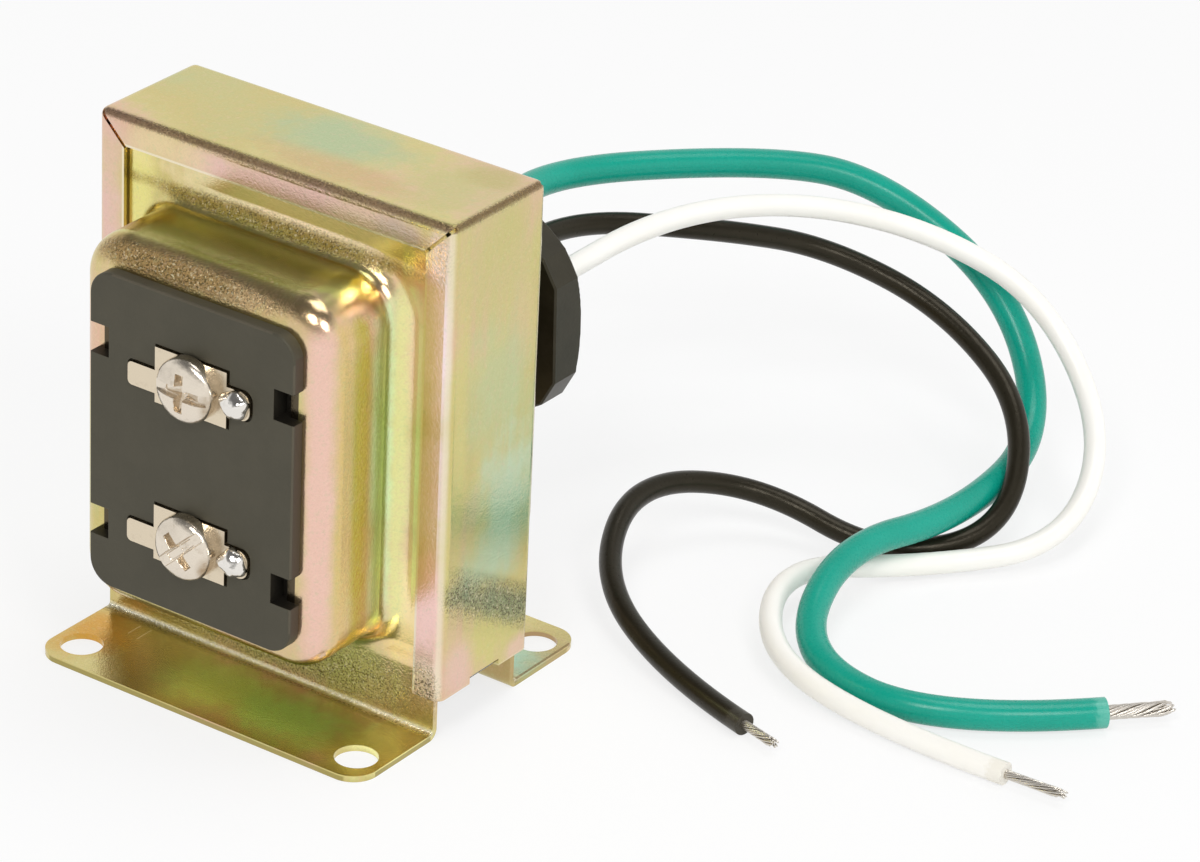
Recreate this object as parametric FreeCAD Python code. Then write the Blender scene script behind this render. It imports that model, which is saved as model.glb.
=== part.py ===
"""Small bell transformer in a folded steel frame, with a knockout hub and three supply leads.

Millimetres. X to the right of someone facing the terminals, Y to the back, Z up.
The origin is the centre of the four foot holes, on the plane the feet stand on.
"""
import FreeCAD, Part
import math
import os

Vector = FreeCAD.Vector

# Core: scrapless E and I laminations, all sizes from the width of the centre leg
LEG = 19.05
STACK = 13.7
CORE_CHAMFER = 0.6

# Sheet metal shared by the band and both covers
SHEET = 0.76
FOOT_DROP = 5.5

# Band folded round the core
BAND_INSIDE_BEND = 0.34
LIP_WIDTH = 3.75
MITRE_GAP = 0.4
SIDE_NOTCH_LENGTH = 5.4
SIDE_NOTCH_HEIGHT = 0.9

# Covers
COVER_INSET = 0.55
COVER_CORNER = 1.2
FOOT_BEND = 0.5
FOOT_LENGTH = 13.5
FOOT_CORNER = 3.2
FOOT_HOLE = 5.0
HOLE_FROM_SIDE = 3.55
HOLE_FROM_TIP = 4.25

# Drawn dome on each cover
DOME_SIDE_MARGIN = 6.05
DOME_TOP_MARGIN = 6.85
DOME_LOW_MARGIN = 4.75
DOME_RISE = 12.95
DOME_CORNER = 5.5
DOME_EDGE = 3.3
DOME_ROOT = 2.5

# Terminal board
BOARD_SIDE_MARGIN = 3.1
BOARD_END_MARGIN = 3.2
BOARD_CORNER = 3.0
BOARD_THICK = 1.6
BOARD_EDGE_BREAK = 0.25
WINDOW_MARGIN = 1.6
WINDOW_CORNER = 1.5
PLUG_CLEARANCE = 0.1
PLUG_DEPTH = 1.6
HOOK_REACH = 0.7
BOARD_NOTCH_DEPTH = 2.7
BOARD_NOTCH_TALL = 3.7
BOARD_NOTCH_OFFSET = 11.2
FITTINGS_DROP = 0.25

# Terminals
TERMINAL_OFFSET = 9.65
TERMINAL_X = 0.25
RECESS_DEPTH = 0.5
RECESS_CLEARANCE = 0.2
STRAP_THICK = 0.8
STRAP_WIDTH = 9.9
STRAP_TALL = 6.7
TAB_LENGTH = 3.8
TAB_TALL = 2.8
TAB_ROUND = 0.6
TAB_DROP = 0.9
LUG_LENGTH = 3.2
LUG_TALL = 3.4
LUG_ROUND = 1.2
SCREW_HEAD = 7.6
HEAD_WALL = 1.2
HEAD_CROWN = 1.0
HEAD_ROUND = 0.6
SCREW_SHANK = 3.5
SHANK_LENGTH = 4.8
SLOT_WIDTH = 0.9
SLOT_DEPTH = 0.7
CROSS_SPAN = 4.2
CROSS_DEPTH = 1.4
UPPER_SLOT_ANGLE = 4.0
LOWER_SLOT_ANGLE = 48.0
SOLDER_FROM_STRAP = 1.1
SOLDER_BASE = 3.5
SOLDER_RISE = 1.5
SECONDARY_WIRE = 0.8

# Coil
BOBBIN_WALL = 1.0
BOBBIN_FLANGE = 0.9
BOBBIN_END_GAP = 0.1
FLANGE_CLEARANCE = 0.2
FLANGE_CORNER = 2.5
PRIMARY_SHARE = 0.628
TAPE = 0.3
COIL_CLEARANCE = 0.6
PRIMARY_CORNER = 2.0

# Hub
HUB_RISE = 1.05
HUB_THREAD = 21.0
HUB_WALL = 3.0
HUB_FLANGE_WIDTH = 2.0
HUB_FLANGE_THICK = 1.4
HUB_LENGTH = 12.95
HUB_END_BREAK = 0.6
NUT_FLATS = 28.0
NUT_SIDES = 8
NUT_GAP = 5.75
NUT_THICK = 5.2
NUT_FACE = 27.2
NUT_CHAMFER_ANGLE = 30.0
BUSHING_RECESS = 5.5
BUSHING_LENGTH = 6.0

# Tags that carry the leads on the coil
TAG_THICK = 0.4
TAG_WIDTH = 2.4
TAG_FOOT = 5.0
TAG_REACH = 3.25
STRAP_FOOT = 1.3

# Room left when a tool body runs past the face it cuts, and how near counts as on a plane
OVERSHOOT = 1.0
NEAR = 0.001

# Levels and widths that follow from the sizes above
CORE_HEIGHT = 3.0 * LEG
CORE_WIDTH = 2.5 * LEG
WINDOW_LENGTH = 1.5 * LEG
CORE_BOTTOM = FOOT_DROP
CORE_TOP = FOOT_DROP + CORE_HEIGHT
CORE_CENTRE_Z = FOOT_DROP + CORE_HEIGHT / 2.0
BAND_WIDTH = CORE_WIDTH + 2.0 * SHEET
BAND_TOP = CORE_TOP + SHEET
BAND_HALF_DEPTH = STACK / 2.0 + 2.0 * SHEET
BAND_BEND = BAND_INSIDE_BEND + SHEET
PLATE_BACK = STACK / 2.0
PLATE_FACE = PLATE_BACK + SHEET
COVER_HALF = CORE_WIDTH / 2.0 - COVER_INSET
COVER_TOP = CORE_TOP - COVER_INSET
FOOT_TIP = PLATE_FACE + FOOT_LENGTH
HOLE_SPACING_X = 2.0 * (COVER_HALF - HOLE_FROM_SIDE)
HOLE_SPACING_Y = 2.0 * (FOOT_TIP - HOLE_FROM_TIP)
DOME_WIDTH = 2.0 * (COVER_HALF - DOME_SIDE_MARGIN)
DOME_TOP = COVER_TOP - DOME_TOP_MARGIN
DOME_LOW = CORE_BOTTOM + DOME_LOW_MARGIN
DOME_HEIGHT = DOME_TOP - DOME_LOW
DOME_CENTRE_Z = (DOME_TOP + DOME_LOW) / 2.0
DOME_FACE = PLATE_FACE + DOME_RISE
DOME_INSIDE = DOME_FACE - SHEET
BOARD_WIDTH = DOME_WIDTH - 2.0 * BOARD_SIDE_MARGIN
BOARD_HEIGHT = DOME_HEIGHT - 2.0 * BOARD_END_MARGIN
BOARD_FACE = DOME_FACE + BOARD_THICK
FITTINGS_Z = DOME_CENTRE_Z - FITTINGS_DROP
STRAP_FLOOR = BOARD_FACE - RECESS_DEPTH
STRAP_FACE = STRAP_FLOOR + STRAP_THICK
SOLDER_X = TERMINAL_X + STRAP_WIDTH / 2.0 + SOLDER_FROM_STRAP
WINDOW_WIDTH = BOARD_WIDTH - 2.0 * WINDOW_MARGIN
WINDOW_TALL = BOARD_HEIGHT - 2.0 * WINDOW_MARGIN
TUBE_Y = STACK + 2.0 * BOBBIN_WALL
TUBE_Z = LEG + 2.0 * BOBBIN_WALL
COIL_BUILD = LEG / 2.0 - COIL_CLEARANCE - BOBBIN_WALL
WIRE_BUILD = COIL_BUILD - 2.0 * TAPE
PRIMARY_BUILD = PRIMARY_SHARE * WIRE_BUILD
SECONDARY_BUILD = WIRE_BUILD - PRIMARY_BUILD
COIL_HALF_Y = TUBE_Y / 2.0 + COIL_BUILD
COIL_HALF_Z = TUBE_Z / 2.0 + COIL_BUILD
FLANGE_RISE = LEG / 2.0 - FLANGE_CLEARANCE
BOBBIN_LENGTH = WINDOW_LENGTH - 2.0 * BOBBIN_END_GAP
WINDING_LENGTH = BOBBIN_LENGTH - 2.0 * BOBBIN_FLANGE
HUB_CENTRE_Z = DOME_CENTRE_Z + HUB_RISE
HUB_BORE = HUB_THREAD - 2.0 * HUB_WALL
HUB_FLANGE = HUB_THREAD + 2.0 * HUB_FLANGE_WIDTH
HUB_END_Y = DOME_FACE + HUB_LENGTH
NUT_FRONT_Y = DOME_FACE + NUT_GAP
BUSHING_BACK_Y = HUB_END_Y - BUSHING_RECESS
BUSHING_FRONT_Y = BUSHING_BACK_Y - BUSHING_LENGTH
LEAD_START_Y = COIL_HALF_Y + TAG_REACH

# Leads: corner points of each route, the first inside the hub, the last where the insulation ends
THIN_LEAD = 2.7
THICK_LEAD = 3.6
THIN_STRANDS = 1.2
THICK_STRANDS = 1.9
BEND_SHARE = 0.45
BLACK_STRIP = 5.0
WHITE_STRIP = 7.0
GREEN_STRIP = 7.5
BLACK_EXIT_X = -3.2
BLACK_EXIT_RISE = -1.5
WHITE_EXIT_X = 3.4
WHITE_EXIT_RISE = -0.7
GREEN_EXIT_X = -1.0
GREEN_EXIT_RISE = 4.3
BLACK_EXIT = (BLACK_EXIT_X, HUB_CENTRE_Z + BLACK_EXIT_RISE)
WHITE_EXIT = (WHITE_EXIT_X, HUB_CENTRE_Z + WHITE_EXIT_RISE)
GREEN_EXIT = (GREEN_EXIT_X, HUB_CENTRE_Z + GREEN_EXIT_RISE)
BLACK_ROUTE = [
    (BLACK_EXIT[0], LEAD_START_Y, BLACK_EXIT[1]),
    (BLACK_EXIT[0], 37.0, BLACK_EXIT[1]),
    (-6.5, 55.5, 32.6),
    (7.5, 71.0, 29.8),
    (15.5, 82.0, 26.0),
    (30.5, 85.5, 21.1),
    (45.5, 81.0, 13.9),
    (50.0, 70.5, 3.2),
    (40.5, 58.5, 1.4),
    (23.0, 57.0, 6.1),
    (15.0, 42.5, 9.7),
    (20.5, 28.0, 4.8),
    (36.0, 19.5, 1.4),
    (49.5, 15.5, 1.4),
]
WHITE_ROUTE = [
    (WHITE_EXIT[0], LEAD_START_Y, WHITE_EXIT[1]),
    (WHITE_EXIT[0], 38.5, WHITE_EXIT[1]),
    (6.5, 58.0, 35.9),
    (14.5, 75.0, 34.5),
    (27.0, 86.5, 30.2),
    (40.0, 93.0, 22.7),
    (53.0, 88.0, 10.0),
    (57.0, 72.0, 3.0),
    (45.0, 59.5, 1.4),
    (35.5, 43.5, 5.0),
    (43.5, 28.0, 3.2),
    (61.0, 24.5, 1.4),
    (78.0, 25.0, 1.4),
]
GREEN_ROUTE = [
    (GREEN_EXIT[0], LEAD_START_Y, GREEN_EXIT[1]),
    (GREEN_EXIT[0], 36.0, GREEN_EXIT[1]),
    (-7.0, 55.0, 40.4),
    (8.0, 77.5, 37.2),
    (17.0, 90.5, 32.5),
    (34.5, 95.5, 21.2),
    (44.5, 87.5, 7.6),
    (45.5, 67.0, 5.3),
    (40.5, 47.5, 7.3),
    (46.0, 31.0, 2.0),
    (66.5, 28.0, 2.0),
    (80.0, 43.0, 1.9),
]


def block(x0, x1, y0, y1, z0, z1):
    """Box between two corners given axis by axis."""
    return Part.makeBox(x1 - x0, y1 - y0, z1 - z0, Vector(x0, y0, z0))


def rounded_block(width, height, corner, y0, y1, centre_x, centre_z):
    """Upright slab from y0 to y1 whose outline in X and Z has four rounded corners."""
    slab = block(centre_x - width / 2.0, centre_x + width / 2.0, y0, y1,
                 centre_z - height / 2.0, centre_z + height / 2.0)
    corners = [edge for edge in slab.Edges if runs_along(edge, Vector(0, 1, 0))]
    return slab.makeFillet(corner, corners)


def runs_along(edge, direction):
    """True for a straight edge parallel to a direction."""
    first = edge.Vertexes[0].Point
    last = edge.Vertexes[-1].Point
    span = last.sub(first)
    return span.Length > NEAR and span.cross(direction).Length < NEAR * span.Length


def edges_on_plane(shape, y, reach_x, low_z, high_z):
    """Edges that lie wholly in the plane Y = y, inside a window of that plane."""
    found = []
    for edge in shape.Edges:
        box = edge.BoundBox
        flat = abs(box.YMin - y) < NEAR and abs(box.YMax - y) < NEAR
        inside = max(abs(box.XMin), abs(box.XMax)) < reach_x and box.ZMin > low_z and box.ZMax < high_z
        if flat and inside:
            found.append(edge)
    return found


def dome_solid(shrink, root_y, face_y, edge_round):
    """Rounded block that stands forward from the plane Y = -root_y, its front edges rolled over."""
    solid = rounded_block(DOME_WIDTH - 2.0 * shrink, DOME_HEIGHT - 2.0 * shrink, DOME_CORNER - shrink,
                          -face_y, -root_y, 0.0, DOME_CENTRE_Z)
    front = edges_on_plane(solid, -face_y, DOME_WIDTH, 0.0, BAND_TOP)
    return solid.makeFillet(edge_round, front)


def cover_blank():
    """Front stamping before its opening is cut: plate, foot with two holes, and drawn dome."""
    plate = block(-COVER_HALF, COVER_HALF, -PLATE_FACE, -PLATE_BACK, 0.0, COVER_TOP)
    foot = block(-COVER_HALF, COVER_HALF, -FOOT_TIP, -PLATE_BACK, 0.0, SHEET)
    sheet = plate.fuse(foot).removeSplitter()
    inner = [e for e in sheet.Edges if runs_along(e, Vector(1, 0, 0))
             and abs(e.BoundBox.YMin + PLATE_FACE) < NEAR and abs(e.BoundBox.ZMin - SHEET) < NEAR]
    sheet = sheet.makeFillet(FOOT_BEND, inner)
    outer = [e for e in sheet.Edges if runs_along(e, Vector(1, 0, 0))
             and abs(e.BoundBox.YMin + PLATE_BACK) < NEAR and abs(e.BoundBox.ZMin) < NEAR]
    sheet = sheet.makeFillet(FOOT_BEND + SHEET, outer)
    tips = [e for e in sheet.Edges if runs_along(e, Vector(0, 0, 1))
            and abs(e.BoundBox.YMin + FOOT_TIP) < NEAR]
    sheet = sheet.makeFillet(FOOT_CORNER, tips)
    shoulders = [e for e in sheet.Edges if runs_along(e, Vector(0, 1, 0))
                 and abs(e.BoundBox.ZMin - COVER_TOP) < NEAR]
    sheet = sheet.makeFillet(COVER_CORNER, shoulders)
    dome = dome_solid(0.0, PLATE_FACE, DOME_FACE, DOME_EDGE)
    skin = sheet.fuse(dome).removeSplitter()
    root = edges_on_plane(skin, -PLATE_FACE, DOME_WIDTH / 2.0 + NEAR, DOME_LOW - NEAR, DOME_TOP + NEAR)
    skin = skin.makeFillet(DOME_ROOT, root)
    behind = block(-COVER_HALF, COVER_HALF, -PLATE_BACK, -PLATE_BACK + SHEET, CORE_BOTTOM, COVER_TOP)
    hollow = behind.fuse(dome_solid(SHEET, PLATE_BACK, DOME_INSIDE, DOME_EDGE - SHEET)).removeSplitter()
    mouth = edges_on_plane(hollow, -PLATE_BACK, DOME_WIDTH / 2.0, DOME_LOW, DOME_TOP)
    hollow = hollow.makeFillet(DOME_ROOT + SHEET, mouth)
    blank = skin.cut(hollow)
    for side in (-1.0, 1.0):
        hole = Part.makeCylinder(FOOT_HOLE / 2.0, 3.0 * SHEET,
                                 Vector(side * HOLE_SPACING_X / 2.0, -HOLE_SPACING_Y / 2.0, -SHEET))
        blank = blank.cut(hole)
    return blank


def front_cover():
    """Stamping with a rounded window in the dome for the terminal board."""
    window = rounded_block(WINDOW_WIDTH, WINDOW_TALL, WINDOW_CORNER,
                           -DOME_FACE - OVERSHOOT, -DOME_INSIDE + OVERSHOOT, 0.0, DOME_CENTRE_Z)
    return cover_blank().cut(window)


def rear_cover():
    """The same stamping turned to the back, with a round hole in the dome for the hub."""
    turned = cover_blank().mirror(Vector(0, 0, 0), Vector(0, 1, 0))
    return turned.cut(along_y(HUB_THREAD, PLATE_FACE, DOME_FACE + OVERSHOOT, 0.0, HUB_CENTRE_Z))


def bent_box(half_x, half_y, bottom, top, bend):
    """Box whose upright edges and top edges are all rolled to one bend radius."""
    box = block(-half_x, half_x, -half_y, half_y, bottom, top)
    rolled = [e for e in box.Edges if e.BoundBox.ZMax > bottom + NEAR]
    return box.makeFillet(bend, rolled)


def frame_band():
    """Inverted channel: top and two sides, with lips folded over both covers and mitred at the top."""
    half = BAND_WIDTH / 2.0
    shell = bent_box(half, BAND_HALF_DEPTH, CORE_BOTTOM, BAND_TOP, BAND_BEND)
    room = bent_box(half - SHEET, BAND_HALF_DEPTH - SHEET, CORE_BOTTOM - OVERSHOOT, CORE_TOP,
                    BAND_INSIDE_BEND)
    band = shell.cut(room)
    lip_x = half - LIP_WIDTH
    lip_z = BAND_TOP - LIP_WIDTH
    opening = block(-lip_x, lip_x, -2.0 * BAND_HALF_DEPTH, 2.0 * BAND_HALF_DEPTH,
                    CORE_BOTTOM - OVERSHOOT, lip_z)
    band = band.cut(opening)
    diagonal = LIP_WIDTH * math.sqrt(2.0)
    for side in (-1.0, 1.0):
        for end in (-1.0, 1.0):
            slit = block(-OVERSHOOT, diagonal, -SHEET, SHEET, -MITRE_GAP / 2.0, MITRE_GAP / 2.0)
            slit.rotate(Vector(0, 0, 0), Vector(0, 1, 0), -45.0)
            if side < 0.0:
                slit = slit.mirror(Vector(0, 0, 0), Vector(1, 0, 0))
            slit.translate(Vector(side * lip_x, end * BAND_HALF_DEPTH, lip_z))
            band = band.cut(slit)
    notches = block(-2.0 * half, 2.0 * half, -SIDE_NOTCH_LENGTH / 2.0, SIDE_NOTCH_LENGTH / 2.0,
                    CORE_BOTTOM - OVERSHOOT, CORE_BOTTOM + SIDE_NOTCH_HEIGHT)
    return band.cut(notches)


def stack_of(outline):
    """Pile of laminations: an outline in X and Z carried through the stack depth."""
    points = [Vector(x, -STACK / 2.0, z) for x, z in outline]
    face = Part.Face(Part.makePolygon(points + points[:1]))
    return face.extrude(Vector(0, STACK, 0))


def core_e_stack():
    """E laminations: upright yoke on the left and three legs to the right."""
    left = -CORE_WIDTH / 2.0
    yoke = left + LEG / 2.0
    tip = yoke + WINDOW_LENGTH
    mid_low = CORE_CENTRE_Z - LEG / 2.0
    mid_high = CORE_CENTRE_Z + LEG / 2.0
    low = CORE_BOTTOM + LEG / 2.0
    high = CORE_TOP - LEG / 2.0
    return stack_of([
        (left, CORE_BOTTOM), (tip, CORE_BOTTOM), (tip, low), (yoke, low), (yoke, mid_low), (tip, mid_low),
        (tip, mid_high), (yoke, mid_high), (yoke, high), (tip, high), (tip, CORE_TOP),
        (left + CORE_CHAMFER, CORE_TOP), (left, CORE_TOP - CORE_CHAMFER),
    ])


def core_i_stack():
    """I laminations: upright bar that closes the legs on the right."""
    right = CORE_WIDTH / 2.0
    inside = right - LEG / 2.0
    return stack_of([
        (inside, CORE_BOTTOM), (right, CORE_BOTTOM), (right, CORE_TOP - CORE_CHAMFER),
        (right - CORE_CHAMFER, CORE_TOP), (inside, CORE_TOP),
    ])


def sleeve_block(length, half_y, half_z, corner):
    """Solid bar along X about the coil's axis, its four long edges rounded."""
    bar = block(-length / 2.0, length / 2.0, -half_y, half_y, CORE_CENTRE_Z - half_z, CORE_CENTRE_Z + half_z)
    long_edges = [e for e in bar.Edges if runs_along(e, Vector(1, 0, 0))]
    return bar.makeFillet(corner, long_edges)


def coil_layer(start, build, corner):
    """Wound layer on the bobbin: starts at a depth over the tube and is as thick as its build."""
    outside = sleeve_block(WINDING_LENGTH, TUBE_Y / 2.0 + start + build, TUBE_Z / 2.0 + start + build,
                           corner + build)
    if start > 0.0:
        inside = sleeve_block(WINDING_LENGTH, TUBE_Y / 2.0 + start, TUBE_Z / 2.0 + start, corner)
    else:
        inside = block(-WINDING_LENGTH / 2.0, WINDING_LENGTH / 2.0, -TUBE_Y / 2.0, TUBE_Y / 2.0,
                       CORE_CENTRE_Z - TUBE_Z / 2.0, CORE_CENTRE_Z + TUBE_Z / 2.0)
    return outside.cut(inside)


def bobbin():
    """Square tube on the centre leg with a flange at each end."""
    half = BOBBIN_LENGTH / 2.0
    body = block(-half, half, -TUBE_Y / 2.0, TUBE_Y / 2.0,
                 CORE_CENTRE_Z - TUBE_Z / 2.0, CORE_CENTRE_Z + TUBE_Z / 2.0)
    for side in (-1.0, 1.0):
        flange = sleeve_block(BOBBIN_FLANGE, STACK / 2.0 + FLANGE_RISE, LEG / 2.0 + FLANGE_RISE,
                              FLANGE_CORNER)
        flange.translate(Vector(side * (half - BOBBIN_FLANGE / 2.0), 0, 0))
        body = body.fuse(flange)
    leg = block(-CORE_WIDTH, CORE_WIDTH, -STACK / 2.0, STACK / 2.0,
                CORE_CENTRE_Z - LEG / 2.0, CORE_CENTRE_Z + LEG / 2.0)
    return body.removeSplitter().cut(leg)


def terminal_levels():
    """Heights of the upper and the lower terminal."""
    return FITTINGS_Z + TERMINAL_OFFSET, FITTINGS_Z - TERMINAL_OFFSET


def strap_outline(grow, y0, y1, z):
    """Terminal strap's outline as a slab: square middle, tab on the left, lug on the right."""
    left = TERMINAL_X - STRAP_WIDTH / 2.0
    right = TERMINAL_X + STRAP_WIDTH / 2.0
    middle = block(left - grow, right + grow, y0, y1,
                   z - STRAP_TALL / 2.0 - grow, z + STRAP_TALL / 2.0 + grow)
    tab = rounded_block(TAB_LENGTH + 2.0 * TAB_ROUND + 2.0 * grow, TAB_TALL + 2.0 * grow, TAB_ROUND, y0, y1,
                        left - TAB_LENGTH / 2.0 + TAB_ROUND, z - TAB_DROP)
    lug = rounded_block(LUG_LENGTH + 2.0 * LUG_ROUND + 2.0 * grow, LUG_TALL + 2.0 * grow, LUG_ROUND, y0, y1,
                        right + LUG_LENGTH / 2.0 - LUG_ROUND, z)
    return middle.fuse([tab, lug]).removeSplitter()


def along_y(diameter, y0, y1, x, z):
    """Round bar parallel to Y."""
    return Part.makeCylinder(diameter / 2.0, y1 - y0, Vector(x, y0, z), Vector(0, 1, 0))


def terminal_board():
    """Moulded board: plate on the dome, plug through its window, four hooks behind the sheet."""
    plate = rounded_block(BOARD_WIDTH, BOARD_HEIGHT, BOARD_CORNER, -BOARD_FACE, -DOME_FACE,
                          0.0, DOME_CENTRE_Z)
    rim = edges_on_plane(plate, -BOARD_FACE, BOARD_WIDTH, 0.0, BAND_TOP)
    plate = plate.makeFillet(BOARD_EDGE_BREAK, rim)
    plug_back = -DOME_FACE + PLUG_DEPTH
    plug = rounded_block(WINDOW_WIDTH - 2.0 * PLUG_CLEARANCE, WINDOW_TALL - 2.0 * PLUG_CLEARANCE,
                         WINDOW_CORNER - PLUG_CLEARANCE, -DOME_FACE, plug_back, 0.0, DOME_CENTRE_Z)
    board = plate.fuse(plug)
    hook_x = WINDOW_WIDTH / 2.0 + HOOK_REACH
    hook_root = WINDOW_WIDTH / 2.0 - BOARD_NOTCH_DEPTH
    for side in (-1.0, 1.0):
        for level in (-1.0, 1.0):
            z = FITTINGS_Z + level * BOARD_NOTCH_OFFSET
            notch = block(BOARD_WIDTH / 2.0 - BOARD_NOTCH_DEPTH, BOARD_WIDTH,
                          -BOARD_FACE - OVERSHOOT, -DOME_INSIDE,
                          z - BOARD_NOTCH_TALL / 2.0, z + BOARD_NOTCH_TALL / 2.0)
            profile = [(hook_root, -DOME_INSIDE), (hook_x, -DOME_INSIDE), (hook_root, plug_back)]
            points = [Vector(x, y, z - BOARD_NOTCH_TALL / 2.0) for x, y in profile]
            hook = Part.Face(Part.makePolygon(points + points[:1])).extrude(Vector(0, 0, BOARD_NOTCH_TALL))
            if side < 0.0:
                notch = notch.mirror(Vector(0, 0, 0), Vector(1, 0, 0))
                hook = hook.mirror(Vector(0, 0, 0), Vector(1, 0, 0))
            board = board.cut(notch).fuse(hook)
    for z in terminal_levels():
        board = board.cut(strap_outline(RECESS_CLEARANCE, -BOARD_FACE - OVERSHOOT, -STRAP_FLOOR, z))
        board = board.cut(along_y(SCREW_SHANK, -BOARD_FACE, plug_back, TERMINAL_X, z))
        board = board.cut(along_y(SECONDARY_WIRE, -BOARD_FACE, plug_back, SOLDER_X, z))
    return board.removeSplitter()


def terminal_plate(z):
    """Nickelled strap in its recess, with a screw hole and a wire hole in the lug."""
    strap = strap_outline(0.0, -STRAP_FACE, -STRAP_FLOOR, z)
    strap = strap.cut(along_y(SCREW_SHANK, -STRAP_FACE, -STRAP_FLOOR, TERMINAL_X, z))
    return strap.cut(along_y(SECONDARY_WIRE, -STRAP_FACE, -STRAP_FLOOR, SOLDER_X, z))


def terminal_screw(z, slot_angle):
    """Pan-head screw with a straight slot and a cross recess."""
    radius = SCREW_HEAD / 2.0
    top = HEAD_WALL + HEAD_CROWN
    side = Part.LineSegment(Vector(radius, 0, 0), Vector(radius, 0, HEAD_WALL))
    ball = (radius * radius + HEAD_CROWN * HEAD_CROWN) / (2.0 * HEAD_CROWN)
    half_way = math.asin(radius / ball) / 2.0
    crown_mid = Vector(ball * math.sin(half_way), 0, top - ball + ball * math.cos(half_way))
    crown = Part.Arc(Vector(radius, 0, HEAD_WALL), crown_mid, Vector(0, 0, top))
    axis = Part.LineSegment(Vector(0, 0, top), Vector(0, 0, 0))
    base = Part.LineSegment(Vector(0, 0, 0), Vector(radius, 0, 0))
    outline = Part.Wire([side.toShape(), crown.toShape(), axis.toShape(), base.toShape()])
    head = Part.Face(outline).revolve(Vector(0, 0, 0), Vector(0, 0, 1), 360.0)
    shoulder = [e for e in head.Edges if abs(e.BoundBox.ZMin - HEAD_WALL) < NEAR
                and abs(e.BoundBox.ZMax - HEAD_WALL) < NEAR]
    head = head.makeFillet(HEAD_ROUND, shoulder)
    slot = block(-SCREW_HEAD, SCREW_HEAD, -SLOT_WIDTH / 2.0, SLOT_WIDTH / 2.0,
                 top - SLOT_DEPTH, top + OVERSHOOT)
    arm = block(-CROSS_SPAN / 2.0, CROSS_SPAN / 2.0, -SLOT_WIDTH / 2.0, SLOT_WIDTH / 2.0,
                top - CROSS_DEPTH, top + OVERSHOOT)
    other = arm.copy()
    other.rotate(Vector(0, 0, 0), Vector(0, 0, 1), 90.0)
    head = head.cut(slot).cut(arm).cut(other)
    shank = Part.makeCylinder(SCREW_SHANK / 2.0, SHANK_LENGTH, Vector(0, 0, -SHANK_LENGTH))
    screw = head.fuse(shank)
    screw.rotate(Vector(0, 0, 0), Vector(0, 0, 1), slot_angle)
    screw.rotate(Vector(0, 0, 0), Vector(1, 0, 0), 90.0)
    screw.translate(Vector(TERMINAL_X, -STRAP_FACE, z))
    return screw


def solder_joint(z):
    """Cap of solder over the end of the wire on the lug."""
    half = SOLDER_BASE / 2.0
    radius = (half * half + SOLDER_RISE * SOLDER_RISE) / (2.0 * SOLDER_RISE)
    ball = Part.makeSphere(radius, Vector(SOLDER_X, -STRAP_FACE + radius - SOLDER_RISE, z))
    front = block(0.0, BOARD_WIDTH, -STRAP_FACE - 2.0 * radius, -STRAP_FACE,
                  z - BOARD_HEIGHT, z + BOARD_HEIGHT)
    return ball.common(front)


def secondary_wire(z):
    """Wire end from the lug back through the board to the outside of the coil."""
    wire = along_y(SECONDARY_WIRE, -STRAP_FACE, 0.0, SOLDER_X, z)
    return wire.cut(sleeve_block(WINDING_LENGTH, COIL_HALF_Y, COIL_HALF_Z, PRIMARY_CORNER + COIL_BUILD))


def hub_nipple():
    """Threaded tube through the rear dome, with a flange inside it."""
    flange_back = DOME_INSIDE - HUB_FLANGE_THICK
    tube = along_y(HUB_THREAD, flange_back, HUB_END_Y, 0.0, HUB_CENTRE_Z)
    end = [e for e in tube.Edges if abs(e.BoundBox.YMin - HUB_END_Y) < NEAR]
    tube = tube.makeChamfer(HUB_END_BREAK, end)
    flange = along_y(HUB_FLANGE, flange_back, DOME_INSIDE, 0.0, HUB_CENTRE_Z)
    bore = along_y(HUB_BORE, flange_back, HUB_END_Y, 0.0, HUB_CENTRE_Z)
    return tube.fuse(flange).removeSplitter().cut(bore)


def hub_nut():
    """Eight-sided nut; a shallow cone takes off the corners of its back face."""
    corner = NUT_FLATS / 2.0 / math.cos(math.pi / NUT_SIDES)
    steps = [math.pi * (2 * k + 1) / NUT_SIDES for k in range(NUT_SIDES)]
    ring = [Vector(corner * math.cos(a), NUT_FRONT_Y, HUB_CENTRE_Z + corner * math.sin(a)) for a in steps]
    prism = Part.Face(Part.makePolygon(ring + ring[:1])).extrude(Vector(0, NUT_THICK, 0))
    fall = math.tan(math.radians(NUT_CHAMFER_ANGLE))
    wide = NUT_FACE / 2.0 + NUT_THICK / fall
    cone = Part.makeCone(wide, NUT_FACE / 2.0, NUT_THICK,
                         Vector(0, NUT_FRONT_Y, HUB_CENTRE_Z), Vector(0, 1, 0))
    thread = along_y(HUB_THREAD, NUT_FRONT_Y, NUT_FRONT_Y + NUT_THICK, 0.0, HUB_CENTRE_Z)
    return prism.common(cone).cut(thread)


def lead_bushing():
    """Plug in the hub's bore with one round hole for each lead."""
    plug = along_y(HUB_BORE, BUSHING_FRONT_Y, BUSHING_BACK_Y, 0.0, HUB_CENTRE_Z)
    for route, diameter in ((BLACK_ROUTE, THIN_LEAD), (WHITE_ROUTE, THIN_LEAD), (GREEN_ROUTE, THICK_LEAD)):
        x, _, z = route[0]
        plug = plug.cut(along_y(diameter, BUSHING_FRONT_Y, BUSHING_BACK_Y, x, z))
    return plug


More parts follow.
